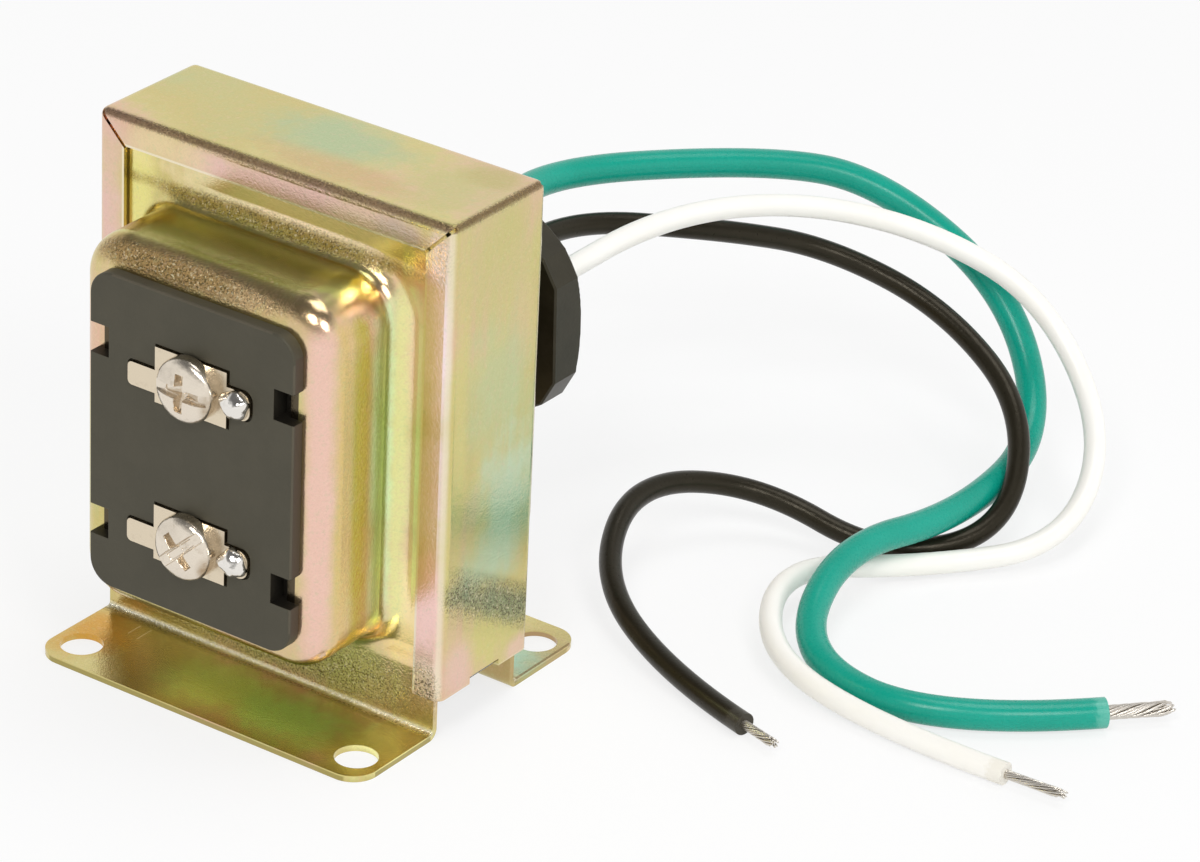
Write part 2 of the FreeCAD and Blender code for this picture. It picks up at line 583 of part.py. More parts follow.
def route_wire(route):
    """Straight runs between the corner points, joined by arcs tangent to both runs at each corner."""
    corners = [Vector(*point) for point in route]
    edges = []
    start = corners[0]
    for before, corner, after in zip(corners, corners[1:], corners[2:]):
        arrive = corner.sub(before)
        leave = after.sub(corner)
        setback = BEND_SHARE * min(arrive.Length, leave.Length)
        arrive.normalize()
        leave.normalize()
        half_turn = arrive.getAngle(leave) / 2.0
        radius = setback / math.tan(half_turn)
        inward = leave.sub(arrive)
        inward.normalize()
        enter = corner.sub(arrive * setback)
        depart = corner.add(leave * setback)
        middle = corner.add(inward * (radius / math.cos(half_turn) - radius))
        edges.append(Part.LineSegment(start, enter).toShape())
        edges.append(Part.Arc(enter, middle, depart).toShape())
        start = depart
    edges.append(Part.LineSegment(start, corners[-1]).toShape())
    return Part.Wire(edges)


def lead(route, diameter):
    """Insulated lead: a round section carried along its route."""
    spine = route_wire(route)
    section = Part.Wire([Part.makeCircle(diameter / 2.0, Vector(*route[0]), Vector(0, 1, 0))])
    return spine.makePipeShell([section], True, False)


def bend_radii(route):
    """Radius of the arc at each corner of a route, in the order of the corners."""
    return [round(edge.Curve.Radius, 1) for edge in route_wire(route).Edges if hasattr(edge.Curve, "Radius")]


def strands(route, diameter, length):
    """Bare twisted end that carries on straight from the insulation."""
    end = Vector(*route[-1])
    heading = end.sub(Vector(*route[-2]))
    return Part.makeCylinder(diameter / 2.0, length, end, heading)


def strip_of(profile, centre_x, width):
    """Bent strip: a closed outline in Y and Z carried across a width in X."""
    points = [Vector(centre_x - width / 2.0, y, z) for y, z in profile]
    return Part.Face(Part.makePolygon(points + points[:1])).extrude(Vector(width, 0, 0))


def lead_tag(route):
    """Angle of brass: foot on the coil's tape, tab up to the inner end of a lead."""
    x, end_y, z = route[0]
    back = COIL_HALF_Y
    low = z - TAG_THICK / 2.0
    high = z + TAG_THICK / 2.0
    profile = [(back, high - TAG_FOOT), (back + TAG_THICK, high - TAG_FOOT), (back + TAG_THICK, low),
               (end_y, low), (end_y, high), (back, high)]
    return strip_of(profile, x, TAG_WIDTH)


def ground_strap(route):
    """Brass strip from the green lead up the coil, over its top and down onto the face of the core."""
    x, end_y, z = route[0]
    back = COIL_HALF_Y
    roof = CORE_CENTRE_Z + COIL_HALF_Z
    low = z - TAG_THICK / 2.0
    profile = [(back, low), (end_y, low), (end_y, low + TAG_THICK), (back + TAG_THICK, low + TAG_THICK),
               (back + TAG_THICK, roof + TAG_THICK), (PLATE_BACK + TAG_THICK, roof + TAG_THICK),
               (PLATE_BACK + TAG_THICK, roof + TAG_THICK + STRAP_FOOT),
               (PLATE_BACK, roof + TAG_THICK + STRAP_FOOT), (PLATE_BACK, roof), (back, roof)]
    return strip_of(profile, x, TAG_WIDTH)


def all_parts():
    """Every piece of the transformer under its own name."""
    upper, lower = terminal_levels()
    return {
        "frame_band": frame_band(),
        "front_cover": front_cover(),
        "rear_cover": rear_cover(),
        "core_e_stack": core_e_stack(),
        "core_i_stack": core_i_stack(),
        "bobbin": bobbin(),
        "primary_winding": coil_layer(0.0, PRIMARY_BUILD, PRIMARY_CORNER),
        "interlayer_tape": coil_layer(PRIMARY_BUILD, TAPE, PRIMARY_CORNER + PRIMARY_BUILD),
        "secondary_winding": coil_layer(PRIMARY_BUILD + TAPE, SECONDARY_BUILD,
                                        PRIMARY_CORNER + PRIMARY_BUILD + TAPE),
        "winding_tape": coil_layer(COIL_BUILD - TAPE, TAPE, PRIMARY_CORNER + COIL_BUILD - TAPE),
        "terminal_board": terminal_board(),
        "terminal_plate_upper": terminal_plate(upper),
        "terminal_plate_lower": terminal_plate(lower),
        "terminal_screw_upper": terminal_screw(upper, UPPER_SLOT_ANGLE),
        "terminal_screw_lower": terminal_screw(lower, LOWER_SLOT_ANGLE),
        "solder_joint_upper": solder_joint(upper),
        "solder_joint_lower": solder_joint(lower),
        "secondary_wire_upper": secondary_wire(upper),
        "secondary_wire_lower": secondary_wire(lower),
        "hub_nipple": hub_nipple(),
        "hub_nut": hub_nut(),
        "lead_bushing": lead_bushing(),
        "black_lead": lead(BLACK_ROUTE, THIN_LEAD),
        "white_lead": lead(WHITE_ROUTE, THIN_LEAD),
        "green_lead": lead(GREEN_ROUTE, THICK_LEAD),
        "black_lead_strands": strands(BLACK_ROUTE, THIN_STRANDS, BLACK_STRIP),
        "white_lead_strands": strands(WHITE_ROUTE, THIN_STRANDS, WHITE_STRIP),
        "green_lead_strands": strands(GREEN_ROUTE, THICK_STRANDS, GREEN_STRIP),
        "black_lead_tag": lead_tag(BLACK_ROUTE),
        "white_lead_tag": lead_tag(WHITE_ROUTE),
        "ground_strap": ground_strap(GREEN_ROUTE),
    }


os.makedirs("parts", exist_ok=True)
for name, shape in all_parts().items():
    shape.exportStep("parts/" + name + ".step")
    box = shape.BoundBox
    print(name, "valid", shape.isValid(), "solids", len(shape.Solids), "volume", round(shape.Volume, 1),
          [round(v, 2) for v in (box.XMin, box.XMax, box.YMin, box.YMax, box.ZMin, box.ZMax)])
for name, route in (("black", BLACK_ROUTE), ("white", WHITE_ROUTE), ("green", GREEN_ROUTE)):
    print(name, "lead length", round(route_wire(route).Length, 1), "bend radii", bend_radii(route))
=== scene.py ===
"""Looks of a small bell transformer: chromate case, dark terminal board, knockout hub and loose leads.

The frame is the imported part's: X to the right, Y to the back, Z up. Meshes are in metres. Sizes and
places that are written here are in millimetres, apart from the studio's, which are in metres.
"""

import logging
import math
from dataclasses import dataclass, replace
from enum import Enum
from typing import Any, Dict, List, Optional, Sequence, Tuple, Union

import bmesh
import bpy
import numpy as np
from mathutils import Matrix, Vector


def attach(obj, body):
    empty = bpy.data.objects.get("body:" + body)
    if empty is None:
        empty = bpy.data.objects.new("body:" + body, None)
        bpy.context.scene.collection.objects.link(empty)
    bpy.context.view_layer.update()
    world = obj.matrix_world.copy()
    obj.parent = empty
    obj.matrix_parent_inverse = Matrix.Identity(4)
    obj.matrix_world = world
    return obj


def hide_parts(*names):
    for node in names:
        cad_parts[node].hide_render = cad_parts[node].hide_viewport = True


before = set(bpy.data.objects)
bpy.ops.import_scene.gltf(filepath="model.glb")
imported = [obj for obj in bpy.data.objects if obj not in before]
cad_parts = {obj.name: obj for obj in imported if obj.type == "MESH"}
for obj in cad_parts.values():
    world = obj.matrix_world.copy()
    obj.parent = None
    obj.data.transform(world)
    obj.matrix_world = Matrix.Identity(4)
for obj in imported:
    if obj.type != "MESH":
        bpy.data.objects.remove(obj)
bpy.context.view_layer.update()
ROOT = "root"
MM = 0.001
FULL_TURN = 2.0 * math.pi
MIDDLE = 0.5
LOG = logging.getLogger("transformer")

Colour = Tuple[float, float, float]
Point = Tuple[float, float, float]
Span = Tuple[float, float]
Operand = Union[float, "Signal"]
Inputs = Dict[Union[int, str], Any]


class Signal:
    """One value inside a node tree that takes part in ordinary arithmetic."""

    def __init__(self, graph: "Graph", socket: bpy.types.NodeSocket) -> None:
        """Keeps the socket and the graph that it belongs to."""
        self.graph = graph
        self.socket = socket

    def __add__(self, other: Operand) -> "Signal":
        """Sum."""
        return self.graph.math("ADD", self, other)

    def __radd__(self, other: Operand) -> "Signal":
        """Sum with the number first."""
        return self.graph.math("ADD", other, self)

    def __sub__(self, other: Operand) -> "Signal":
        """Difference."""
        return self.graph.math("SUBTRACT", self, other)

    def __rsub__(self, other: Operand) -> "Signal":
        """Difference with the number first."""
        return self.graph.math("SUBTRACT", other, self)

    def __mul__(self, other: Operand) -> "Signal":
        """Product."""
        return self.graph.math("MULTIPLY", self, other)

    def __rmul__(self, other: Operand) -> "Signal":
        """Product with the number first."""
        return self.graph.math("MULTIPLY", other, self)

    def sine(self) -> "Signal":
        """Sine of an angle in radians."""
        return self.graph.math("SINE", self)

    def within(self, low: float, high: float) -> "Signal":
        """Smooth step from 0 at low to 1 at high.

        Args:
            low: value that gives 0.
            high: value that gives 1; it may be the smaller of the two.

        Returns:
            The eased step.
        """
        rising = low < high
        settings = {"interpolation_type": "SMOOTHSTEP"}
        edges = {"Value": self, "From Min": min(low, high), "From Max": max(low, high),
                 "To Min": 0.0 if rising else 1.0, "To Max": 1.0 if rising else 0.0}
        return self.graph.output("ShaderNodeMapRange", settings, edges, "Result")


class Graph:
    """Node tree of one material or of the world, written as expressions."""

    def __init__(self, owner: Union[bpy.types.Material, bpy.types.World], end: str) -> None:
        """Empties the owner's node tree and adds its output node.

        Args:
            owner: material or world that the nodes belong to.
            end: Blender's name of the output node's type.
        """
        owner.use_nodes = True
        self.owner = owner
        self.tree = owner.node_tree
        self.tree.nodes.clear()
        self.end = self.tree.nodes.new(end)

    @classmethod
    def of_material(cls, name: str) -> "Graph":
        """Tree of a new material."""
        return cls(bpy.data.materials.new(name), "ShaderNodeOutputMaterial")

    def node(self, kind: str, settings: Dict[str, Any], inputs: Inputs) -> bpy.types.Node:
        """Adds a node.

        Args:
            kind: Blender's name of the node type.
            settings: attributes that are set first; "stops" holds a ramp's (place, colour) pairs.
            inputs: numbers, colours, signals or sockets by the input's name or index.

        Returns:
            The new node.
        """
        made = self.tree.nodes.new(kind)
        for key, value in settings.items():
            if key == "stops":
                self._set_stops(made.color_ramp, value)
            else:
                setattr(made, key, value)
        for key, value in inputs.items():
            target = made.inputs[key]
            source = value.socket if isinstance(value, Signal) else value
            if isinstance(source, bpy.types.NodeSocket):
                self.tree.links.new(source, target)
            elif target.type == "RGBA":
                target.default_value = (*source[:3], 1.0)
            else:
                target.default_value = source
        return made

    @staticmethod
    def _set_stops(ramp: bpy.types.ColorRamp, stops: Sequence[Tuple[float, Colour]]) -> None:
        """Gives a colour ramp its stops.

        Args:
            ramp: ramp that is changed.
            stops: places and colours, in rising order of place.
        """
        while len(ramp.elements) < len(stops):
            ramp.elements.new(1.0)
        for element, (place, colour) in zip(ramp.elements, stops):
            element.position = place
            element.color = (*colour, 1.0)

    def output(self, kind: str, settings: Dict[str, Any], inputs: Inputs,
               name: Union[int, str] = 0) -> Signal:
        """Adds a node and gives one of its outputs as a signal."""
        return Signal(self, self.node(kind, settings, inputs).outputs[name])

    def math(self, operation: str, first: Operand, second: Operand = 0.0) -> Signal:
        """Adds one Math node for two operands."""
        return self.output("ShaderNodeMath", {"operation": operation}, {0: first, 1: second})

    def vector(self, operation: str, first: Any, second: Any = (0.0, 0.0, 0.0)) -> Signal:
        """Adds one Vector Math node for two vectors."""
        return self.output("ShaderNodeVectorMath", {"operation": operation}, {0: first, 1: second}, "Vector")

    def length(self, vector: Any) -> Signal:
        """Length of a vector."""
        return self.output("ShaderNodeVectorMath", {"operation": "LENGTH"}, {0: vector}, "Value")

    def mix(self, factor: Operand, first: Any, second: Any) -> Signal:
        """Blend of two colours: the first at factor 0, the second at 1."""
        return self.output("ShaderNodeMix", {"data_type": "RGBA"}, {0: factor, 6: first, 7: second}, 2)

    def place(self) -> Signal:
        """Place on the object in millimetres."""
        spot = self.node("ShaderNodeTexCoord", {}, {}).outputs["Object"]
        return self.vector("MULTIPLY", spot, (1.0 / MM,) * 3)

    def split(self, vector: Signal) -> Tuple[Signal, Signal, Signal]:
        """The three parts of a vector."""
        parts = self.node("ShaderNodeSeparateXYZ", {}, {0: vector})
        return tuple(Signal(self, parts.outputs[k]) for k in range(3))

    def bump(self, height: Signal, strength: float, depth: float) -> Signal:
        """Normal that follows a height field.

        Args:
            height: field from 0 to 1.
            strength: share of the effect, from 0 to 1.
            depth: height of a full step of the field.

        Returns:
            The bent normal.
        """
        values = {"Strength": strength, "Distance": depth * MM, "Height": height}
        return self.output("ShaderNodeBump", {}, values)

    def close(self, kind: str, inputs: Inputs) -> Union[bpy.types.Material, bpy.types.World]:
        """Adds the last shader and links it to the output.

        Args:
            kind: Blender's name of the shader's type.
            inputs: values and links of its sockets.

        Returns:
            The finished material or world.
        """
        shader = self.node(kind, {}, inputs)
        self.tree.links.new(shader.outputs[0], self.end.inputs[0])
        return self.owner

    def surface(self, inputs: Inputs) -> bpy.types.Material:
        """Ends the tree with a Principled shader and gives the material."""
        return self.close("ShaderNodeBsdfPrincipled", inputs)


@dataclass(frozen=True)
class Clouds:
    """Recipe of a cloudy noise: clouds in each millimetre, octaves, strength of the finer ones, and warp."""

    scale: float
    octaves: float = 2.0
    finer: float = 0.5
    warp: float = 0.0
    squash: Optional[Point] = None

    def read(self, graph: Graph, place: Signal) -> Signal:
        """Noise from 0 to 1 at a place, which is first scaled along each axis by the squash, if there is one.

        Args:
            graph: tree that takes the nodes.
            place: place on the object.

        Returns:
            The noise value.
        """
        if self.squash is not None:
            place = graph.vector("MULTIPLY", place, self.squash)
        values = {"Vector": place, "Scale": self.scale, "Detail": self.octaves, "Roughness": self.finer,
                  "Distortion": self.warp}
        return graph.output("ShaderNodeTexNoise", {}, values)


@dataclass(frozen=True)
class Patch:
    """Soft spot on a surface, an ellipsoid about a centre."""

    centre: Point
    reach: Point
    weight: float
    colour: Colour = (0.0, 0.0, 0.0)
    full: float = 0.25

    def mask(self, graph: Graph, place: Signal, ragged: Operand = 0.0) -> Signal:
        """Weight at the centre that eases to 0 at the ellipsoid: a step of the distance scaled by the reach.

        Args:
            graph: tree that takes the nodes.
            place: place on the object.
            ragged: amount, as a share of the reach, that is added to the distance.

        Returns:
            The mask.
        """
        away = graph.vector("DIVIDE", graph.vector("SUBTRACT", place, self.centre), self.reach)
        return (graph.length(away) + ragged).within(1.0, self.full) * self.weight


@dataclass(frozen=True)
class Edge:
    """Straight mark that fills a thin box and fades over a soft margin: painted highlights, painted shade,
    scratches and darker rims are made this way.
    """

    low: Point
    high: Point
    soft: float
    weight: float
    colour: Colour

    def mask(self, graph: Graph, place: Signal) -> Signal:
        """Weight inside the box, eased to 0 at the margin: a step of the largest overshoot of the axes.

        Args:
            graph: tree that takes the nodes.
            place: place on the object.

        Returns:
            The mask.
        """
        middle = tuple((a + b) / 2.0 for a, b in zip(self.low, self.high))
        half = tuple((b - a) / 2.0 for a, b in zip(self.low, self.high))
        away = graph.vector("ABSOLUTE", graph.vector("SUBTRACT", place, middle))
        past = graph.split(graph.vector("SUBTRACT", away, half))
        largest = graph.math("MAXIMUM", graph.math("MAXIMUM", past[0], past[1]), past[2])
        return largest.within(self.soft, 0.0) * self.weight

    def mirrored(self) -> "Edge":
        """The same mark on the other side of the plane y = 0."""
        low, high = self.low, self.high
        return replace(self, low=(low[0], -high[1], low[2]), high=(high[0], -low[1], high[2]))


@dataclass(frozen=True)
class Chromate:
    """Yellow chromate on zinc: a bright metal whose thin film drifts between gold, rose and sea green.

    A pair named weight or relief holds the amount on flat sheet and what is added in the grained zones: where
    the press drew the sheet and, on the band's side, a painted dark reflection band. Tints and edges carry
    painted reflections, painted highlights and painted shade besides the film's own colour.
    """

    name: str
    tints: Tuple[Patch, ...]
    edges: Tuple[Edge, ...]
    grains: Tuple[Patch, ...]
    draft: float = 0.0
    draft_span: Span = (8.0, 11.0)
    gold: Colour = (0.62, 0.52, 0.20)
    straw: Colour = (0.66, 0.57, 0.24)
    rose: Colour = (0.76, 0.50, 0.36)
    green: Colour = (0.46, 0.57, 0.30)
    stops: Tuple[float, ...] = (0.24, 0.40, 0.52, 0.66, 0.78)
    slow: Clouds = Clouds(0.045, 1.0, 0.4, 0.3)
    streaks: Clouds = Clouds(0.8, squash=(1.0, 1.0, 0.05))
    streak_share: float = 0.14
    ragged: Clouds = Clouds(0.22, 3.0, 0.6)
    ragged_share: float = 0.7
    ragged_streak: float = 0.3
    mottle: Clouds = Clouds(1.3, 3.0, 0.7)
    mottle_rose: Span = (0.50, 0.75)
    mottle_green: Span = (0.48, 0.25)
    mottle_weight: float = 0.22
    specks: Clouds = Clouds(4.1, 2.0, 0.7)
    speck_span: Span = (0.49, 0.60)
    speck_weight: Span = (0.04, 0.84)
    speck_colour: Colour = (0.10, 0.075, 0.03)
    # Painted glints: bright specks that stand for highlights on the grain
    painted_glints: Clouds = Clouds(3.2, 2.0, 0.6)
    painted_glint_span: Span = (0.57, 0.67)
    painted_glint_weight: Span = (0.09, 0.46)
    painted_glint_colour: Colour = (0.92, 0.84, 0.58)
    peel: Clouds = Clouds(3.4, 3.0, 0.6)
    relief: Span = (0.016, 0.24)
    scuffs: Clouds = Clouds(1.6, 3.0, 0.7, squash=(0.3, 0.3, 2.2))
    scuff_span: Span = (0.60, 0.85)
    roughness: float = 0.19
    drawn_matt: float = 0.14
    scuff_matt: float = 0.05
    peel_matt: float = 0.08

    def material(self) -> bpy.types.Material:
        """Film with its specks and edges; peel gives the relief, and the wall's draft leans the reflections.

        Returns:
            The new material.
        """
        graph = Graph.of_material(self.name)
        place = graph.place()
        grained: Operand = 0.0
        for grain in self.grains:
            grained = graph.math("MAXIMUM", grained, grain.mask(graph, place))
        film = self._speckled(graph, place, self._film(graph, place), grained)
        for edge in self.edges:
            film = graph.mix(edge.mask(graph, place), film, edge.colour)
        peel = self.peel.read(graph, place)
        scuff = self.scuffs.read(graph, place).within(*self.scuff_span)
        rough = self.roughness + grained * self.drawn_matt + scuff * self.scuff_matt
        rough = rough + (peel - MIDDLE) * self.peel_matt
        depth, height = graph.split(place)[1:]
        lean = depth * self.draft * height.within(*self.draft_span)
        relief = peel * self._by_zone(self.relief, grained) + lean
        return graph.surface({"Base Color": film, "Metallic": 1.0, "Roughness": rough,
                              "Normal": graph.bump(relief, 1.0, 1.0)})

    def _film(self, graph: Graph, place: Signal) -> Signal:
        """Colour ramp over slow clouds and upright streaks, under listed tints with ragged outlines.

        Args:
            graph: tree that takes the nodes.
            place: place on the object.

        Returns:
            The film's colour.
        """
        streak = self.streaks.read(graph, place) - MIDDLE
        cloud = self.slow.read(graph, place) + streak * self.streak_share
        colours = (self.green, self.gold, self.straw, self.rose, self.gold)
        film = graph.output("ShaderNodeValToRGB", {"stops": list(zip(self.stops, colours))}, {0: cloud})
        ragged = (self.ragged.read(graph, place) - MIDDLE) * self.ragged_share + streak * self.ragged_streak
        for tint in self.tints:
            film = graph.mix(tint.mask(graph, place, ragged), film, tint.colour)
        return film

    def _speckled(self, graph: Graph, place: Signal, film: Signal, grained: Signal) -> Signal:
        """Adds a rose and green mottle, dark specks and bright painted glints that stand for highlights,
        densest in the grained zones.

        Args:
            graph: tree that takes the nodes.
            place: place on the object.
            film: colour below.
            grained: 1 in the grained zones, where the press drew the sheet and on the band's side along a
                painted dark reflection band; 0 on flat sheet.

        Returns:
            The colour with its specks.
        """
        mottle = self.mottle.read(graph, place)
        for span, colour in ((self.mottle_rose, self.rose), (self.mottle_green, self.green)):
            film = graph.mix(mottle.within(*span) * self.mottle_weight, film, colour)
        speck = self.specks.read(graph, place).within(*self.speck_span)
        film = graph.mix(speck * self._by_zone(self.speck_weight, grained), film, self.speck_colour)
        painted_glint = self.painted_glints.read(graph, place).within(*self.painted_glint_span)
        return graph.mix(painted_glint * self._by_zone(self.painted_glint_weight, grained), film, self.painted_glint_colour)

    @staticmethod
    def _by_zone(amounts: Span, grained: Signal) -> Signal:
        """First amount on flat sheet, plus the second in the grained zones."""
        return grained * amounts[1] + amounts[0]


@dataclass(frozen=True)
class Moulded:
    """Moulded plastic with a fine even tooth and a faint drift of tone."""

    name: str
    colour: Colour
    paler: Colour
    roughness: float
    tooth: Clouds = Clouds(3.0, 3.0, 0.65)
    tooth_span: Span = (0.55, 0.75)
    tooth_weight: float = 0.25
    tooth_depth: float = 0.02
    tooth_strength: float = 0.5
    drift: Clouds = Clouds(0.25, 3.0, 0.6)
    drift_span: Span = (0.3, 0.75)
    drift_weight: float = 0.5
    drift_matt: float = 0.16
    edges: Tuple[Edge, ...] = ()
    gloss: float = 0.5
    gloss_tint: Colour = (1.0, 0.94, 0.74)

    def material(self) -> bpy.types.Material:
        """Base tone mixed with a paler one by clouds; fine noise gives the tooth of the mould.

        Returns:
            The new material.
        """
        graph = Graph.of_material(self.name)
        place = graph.place()
        drift = self.drift.read(graph, place)
        tooth = self.tooth.read(graph, place)
        pale = drift.within(*self.drift_span) * self.drift_weight
        pale = pale + tooth.within(*self.tooth_span) * self.tooth_weight
        tone = graph.mix(pale, self.colour, self.paler)
        for edge in self.edges:
            tone = graph.mix(edge.mask(graph, place), tone, edge.colour)
        rough = self.roughness + (drift - MIDDLE) * self.drift_matt
        return graph.surface({"Base Color": tone, "Roughness": rough, "Specular IOR Level": self.gloss,
                              "Specular Tint": self.gloss_tint,
                              "Normal": graph.bump(tooth, self.tooth_strength, self.tooth_depth)})


@dataclass(frozen=True)
class Plated:
    """Plated or tinned metal: soft clouds of tone, small stains and fine scratches; on the screws some marks
    are painted shade.
    """

    name: str
    colour: Colour
    stain: Colour
    roughness: float
    wobble_depth: float = 0.04
    wobble_strength: float = 0.6
    wobble: Clouds = Clouds(1.4)
    marks: Tuple[Patch, ...] = ()
    mark_share: float = 1.2
    stains: Clouds = Clouds(0.9, 4.0, 0.6)
    stain_span: Span = (0.56, 0.76)
    stain_weight: float = 0.6
    stain_matt: float = 0.18
    scratches: Clouds = Clouds(2.0, 2.0, 0.6, squash=(0.6, 0.6, 9.0))
    scratch_span: Span = (0.6, 0.8)
    scratch_matt: float = 0.08

    def material(self) -> bpy.types.Material:
        """Tone with stains in its clouds and listed marks; slow noise bends the reflections.

        Returns:
            The new material.
        """
        graph = Graph.of_material(self.name)
        place = graph.place()
        cloud = self.stains.read(graph, place)
        tone = graph.mix(cloud.within(*self.stain_span) * self.stain_weight, self.colour, self.stain)
        for mark in self.marks:
            tone = graph.mix(mark.mask(graph, place) * (cloud * self.mark_share), tone, mark.colour)
        scratch = self.scratches.read(graph, place).within(*self.scratch_span)
        rough = self.roughness + (cloud - MIDDLE) * self.stain_matt + scratch * self.scratch_matt
        wobble = graph.bump(self.wobble.read(graph, place), self.wobble_strength, self.wobble_depth)
        return graph.surface({"Base Color": tone, "Metallic": 1.0, "Roughness": rough, "Normal": wobble})


@dataclass(frozen=True)
class Sheath:
    """Smooth plastic insulation with soft gloss, faint drift of tone and a paler, ragged cut at its end."""

    name: str
    colour: Colour
    shade: Colour
    cut: Colour
    roughness: float
    gloss: float = 0.5
    gloss_tint: Colour = (1.0, 1.0, 1.0)
    drift: Clouds = Clouds(0.12, 3.0, 0.55)
    drift_span: Span = (0.35, 0.7)
    drift_weight: float = 0.6
    grain: Clouds = Clouds(2.2, 3.0, 0.6)
    grain_depth: float = 0.008
    grain_strength: float = 0.5
    grain_matt: float = 0.14
    cut_span: Span = (2.6, 1.9)
    cut_ragged: float = 1.4
    cut_weight: float = 0.6

    def material(self, end: Point) -> bpy.types.Material:
        """Tone from slow clouds; fine noise breaks up the gloss and the edge of the cut.

        Args:
            end: middle of the cut end.

        Returns:
            The new material.
        """
        graph = Graph.of_material(self.name)
        place = graph.place()
        grain = self.grain.read(graph, place)
        shade = self.drift.read(graph, place).within(*self.drift_span) * self.drift_weight
        tone = graph.mix(shade, self.colour, self.shade)
        away = graph.length(graph.vector("SUBTRACT", place, end)) + (grain - MIDDLE) * self.cut_ragged
        tone = graph.mix(away.within(*self.cut_span) * self.cut_weight, tone, self.cut)
        rough = self.roughness + (grain - MIDDLE) * self.grain_matt
        return graph.surface({"Base Color": tone, "Roughness": rough, "Specular IOR Level": self.gloss,
                              "Specular Tint": self.gloss_tint,
                              "Normal": graph.bump(grain, self.grain_strength, self.grain_depth)})


@dataclass(frozen=True)
class Laminated:
    """Pile of thin steel sheets: dark lines between grey edges, with rust-brown clouds."""

    name: str
    sheet: float = 0.55
    steel: Colour = (0.30, 0.29, 0.28)
    rust: Colour = (0.22, 0.16, 0.11)
    line: Colour = (0.05, 0.05, 0.05)
    line_span: Span = (0.55, 1.0)
    line_weight: float = 0.7
    line_depth: float = 0.06
    line_strength: float = 0.4
    clouds: Clouds = Clouds(0.8, 3.0, 0.6)
    rust_span: Span = (0.5, 0.75)
    rust_weight: float = 0.5
    metal: float = 0.8
    roughness: float = 0.45
    cloud_matt: float = 0.2

    def material(self) -> bpy.types.Material:
        """Tone from a sine of depth, one wave to a sheet.

        Returns:
            The new material.
        """
        graph = Graph.of_material(self.name)
        place = graph.place()
        wave = (graph.split(place)[1] * (FULL_TURN / self.sheet)).sine()
        cloud = self.clouds.read(graph, place)
        tone = graph.mix(cloud.within(*self.rust_span) * self.rust_weight, self.steel, self.rust)
        tone = graph.mix(wave.within(*self.line_span) * self.line_weight, tone, self.line)
        return graph.surface({"Base Color": tone, "Metallic": self.metal,
                              "Roughness": self.roughness + cloud * self.cloud_matt,
                              "Normal": graph.bump(wave, self.line_strength, self.line_depth)})


@dataclass(frozen=True)
class Wound:
    """Rows of enamelled wire or film tape about the coil's own axis."""

    name: str
    colour: Colour
    gap: Colour
    pitch: float
    metal: float
    roughness: float
    gap_span: Span = (0.2, 1.0)
    gap_weight: float = 0.6
    gap_depth: float = 0.08
    gap_strength: float = 0.5
    clouds: Clouds = Clouds(0.6, 3.0, 0.6)
    cloud_span: Span = (0.55, 0.8)
    cloud_weight: float = 0.2
    cloud_matt: float = 0.1

    def material(self) -> bpy.types.Material:
        """Tone from a sine along the coil, one wave to a turn.

        Returns:
            The new material.
        """
        graph = Graph.of_material(self.name)
        place = graph.place()
        wave = (graph.split(place)[0] * (FULL_TURN / self.pitch)).sine()
        cloud = self.clouds.read(graph, place)
        dark = wave.within(*self.gap_span) * self.gap_weight
        dark = dark + cloud.within(*self.cloud_span) * self.cloud_weight
        return graph.surface({"Base Color": graph.mix(dark, self.colour, self.gap), "Metallic": self.metal,
                              "Roughness": self.roughness + cloud * self.cloud_matt,
                              "Normal": graph.bump(wave, self.gap_strength, self.gap_depth)})


Finish = Union[Chromate, Moulded, Plated, Laminated, Wound]

ROSE: Colour = (0.78, 0.54, 0.46)
LIP_ROSE: Colour = (0.80, 0.54, 0.47)
LEMON: Colour = (0.80, 0.72, 0.30)
SEA: Colour = (0.40, 0.56, 0.40)
# Pale tone for painted highlights on edges and bends, and for two scratches on the front foot
SCRATCH_AND_HIGHLIGHT: Colour = (0.88, 0.80, 0.60)
# Painted shade: seam shadows beside the lips and the dark seen through the windows under the board
PAINTED_SHADE: Colour = (0.10, 0.08, 0.05)
OCHRE: Colour = (0.34, 0.28, 0.09)
# Painted highlight on the board's front edges
BOARD_EDGE_HIGHLIGHT: Colour = (0.11, 0.09, 0.065)
WINDOW_SHADE: Colour = (0.006, 0.005, 0.004)
STRAP_STAIN: Colour = (0.30, 0.24, 0.16)
STRAP_DULL: Colour = (0.50, 0.42, 0.32)

# Place and lean of a painted dark reflection band across the right side
SIDE_BAND_X = 25.0
SIDE_BAND_Z = 15.1
SIDE_BAND_LEAN = 0.54
SIDE_BAND_STEPS = tuple(-6.1 + 1.5 * step for step in range(10))


def slanted_band(reach: Point, weight: float, colour: Colour = (0.0, 0.0, 0.0)) -> Tuple[Patch, ...]:
    """Row of overlapping spots across the right side whose height falls with y by a set lean, for a painted
    dark reflection band.

    Args:
        reach: reach of each spot.
        weight: weight of each spot.
        colour: tint of each spot.

    Returns:
        The spots from front to back.
    """
    return tuple(Patch((SIDE_BAND_X, y, SIDE_BAND_Z - SIDE_BAND_LEAN * y), reach, weight, colour)
                 for y in SIDE_BAND_STEPS)


def window_marks(x_spans: Sequence[Span], y_span: Span, z_spans: Sequence[Span], soft: float, weight: float,
                 colour: Colour) -> Tuple[Edge, ...]:
    """Painted shade at the board's edge windows, one mark for each pair of a span in x and a span in z.

    Args:
        x_spans: lowest and highest x of the windows on the right and on the left.
        y_span: lowest and highest y of them all.
        z_spans: lowest and highest z of the upper and the lower windows.
        soft: margin over which a mark fades.
        weight: weight of each mark.
        colour: tint of each mark.

    Returns:
        The marks.
    """
    return tuple(Edge((x[0], y_span[0], z[0]), (x[1], y_span[1], z[1]), soft, weight, colour)
                 for x in x_spans for z in z_spans)
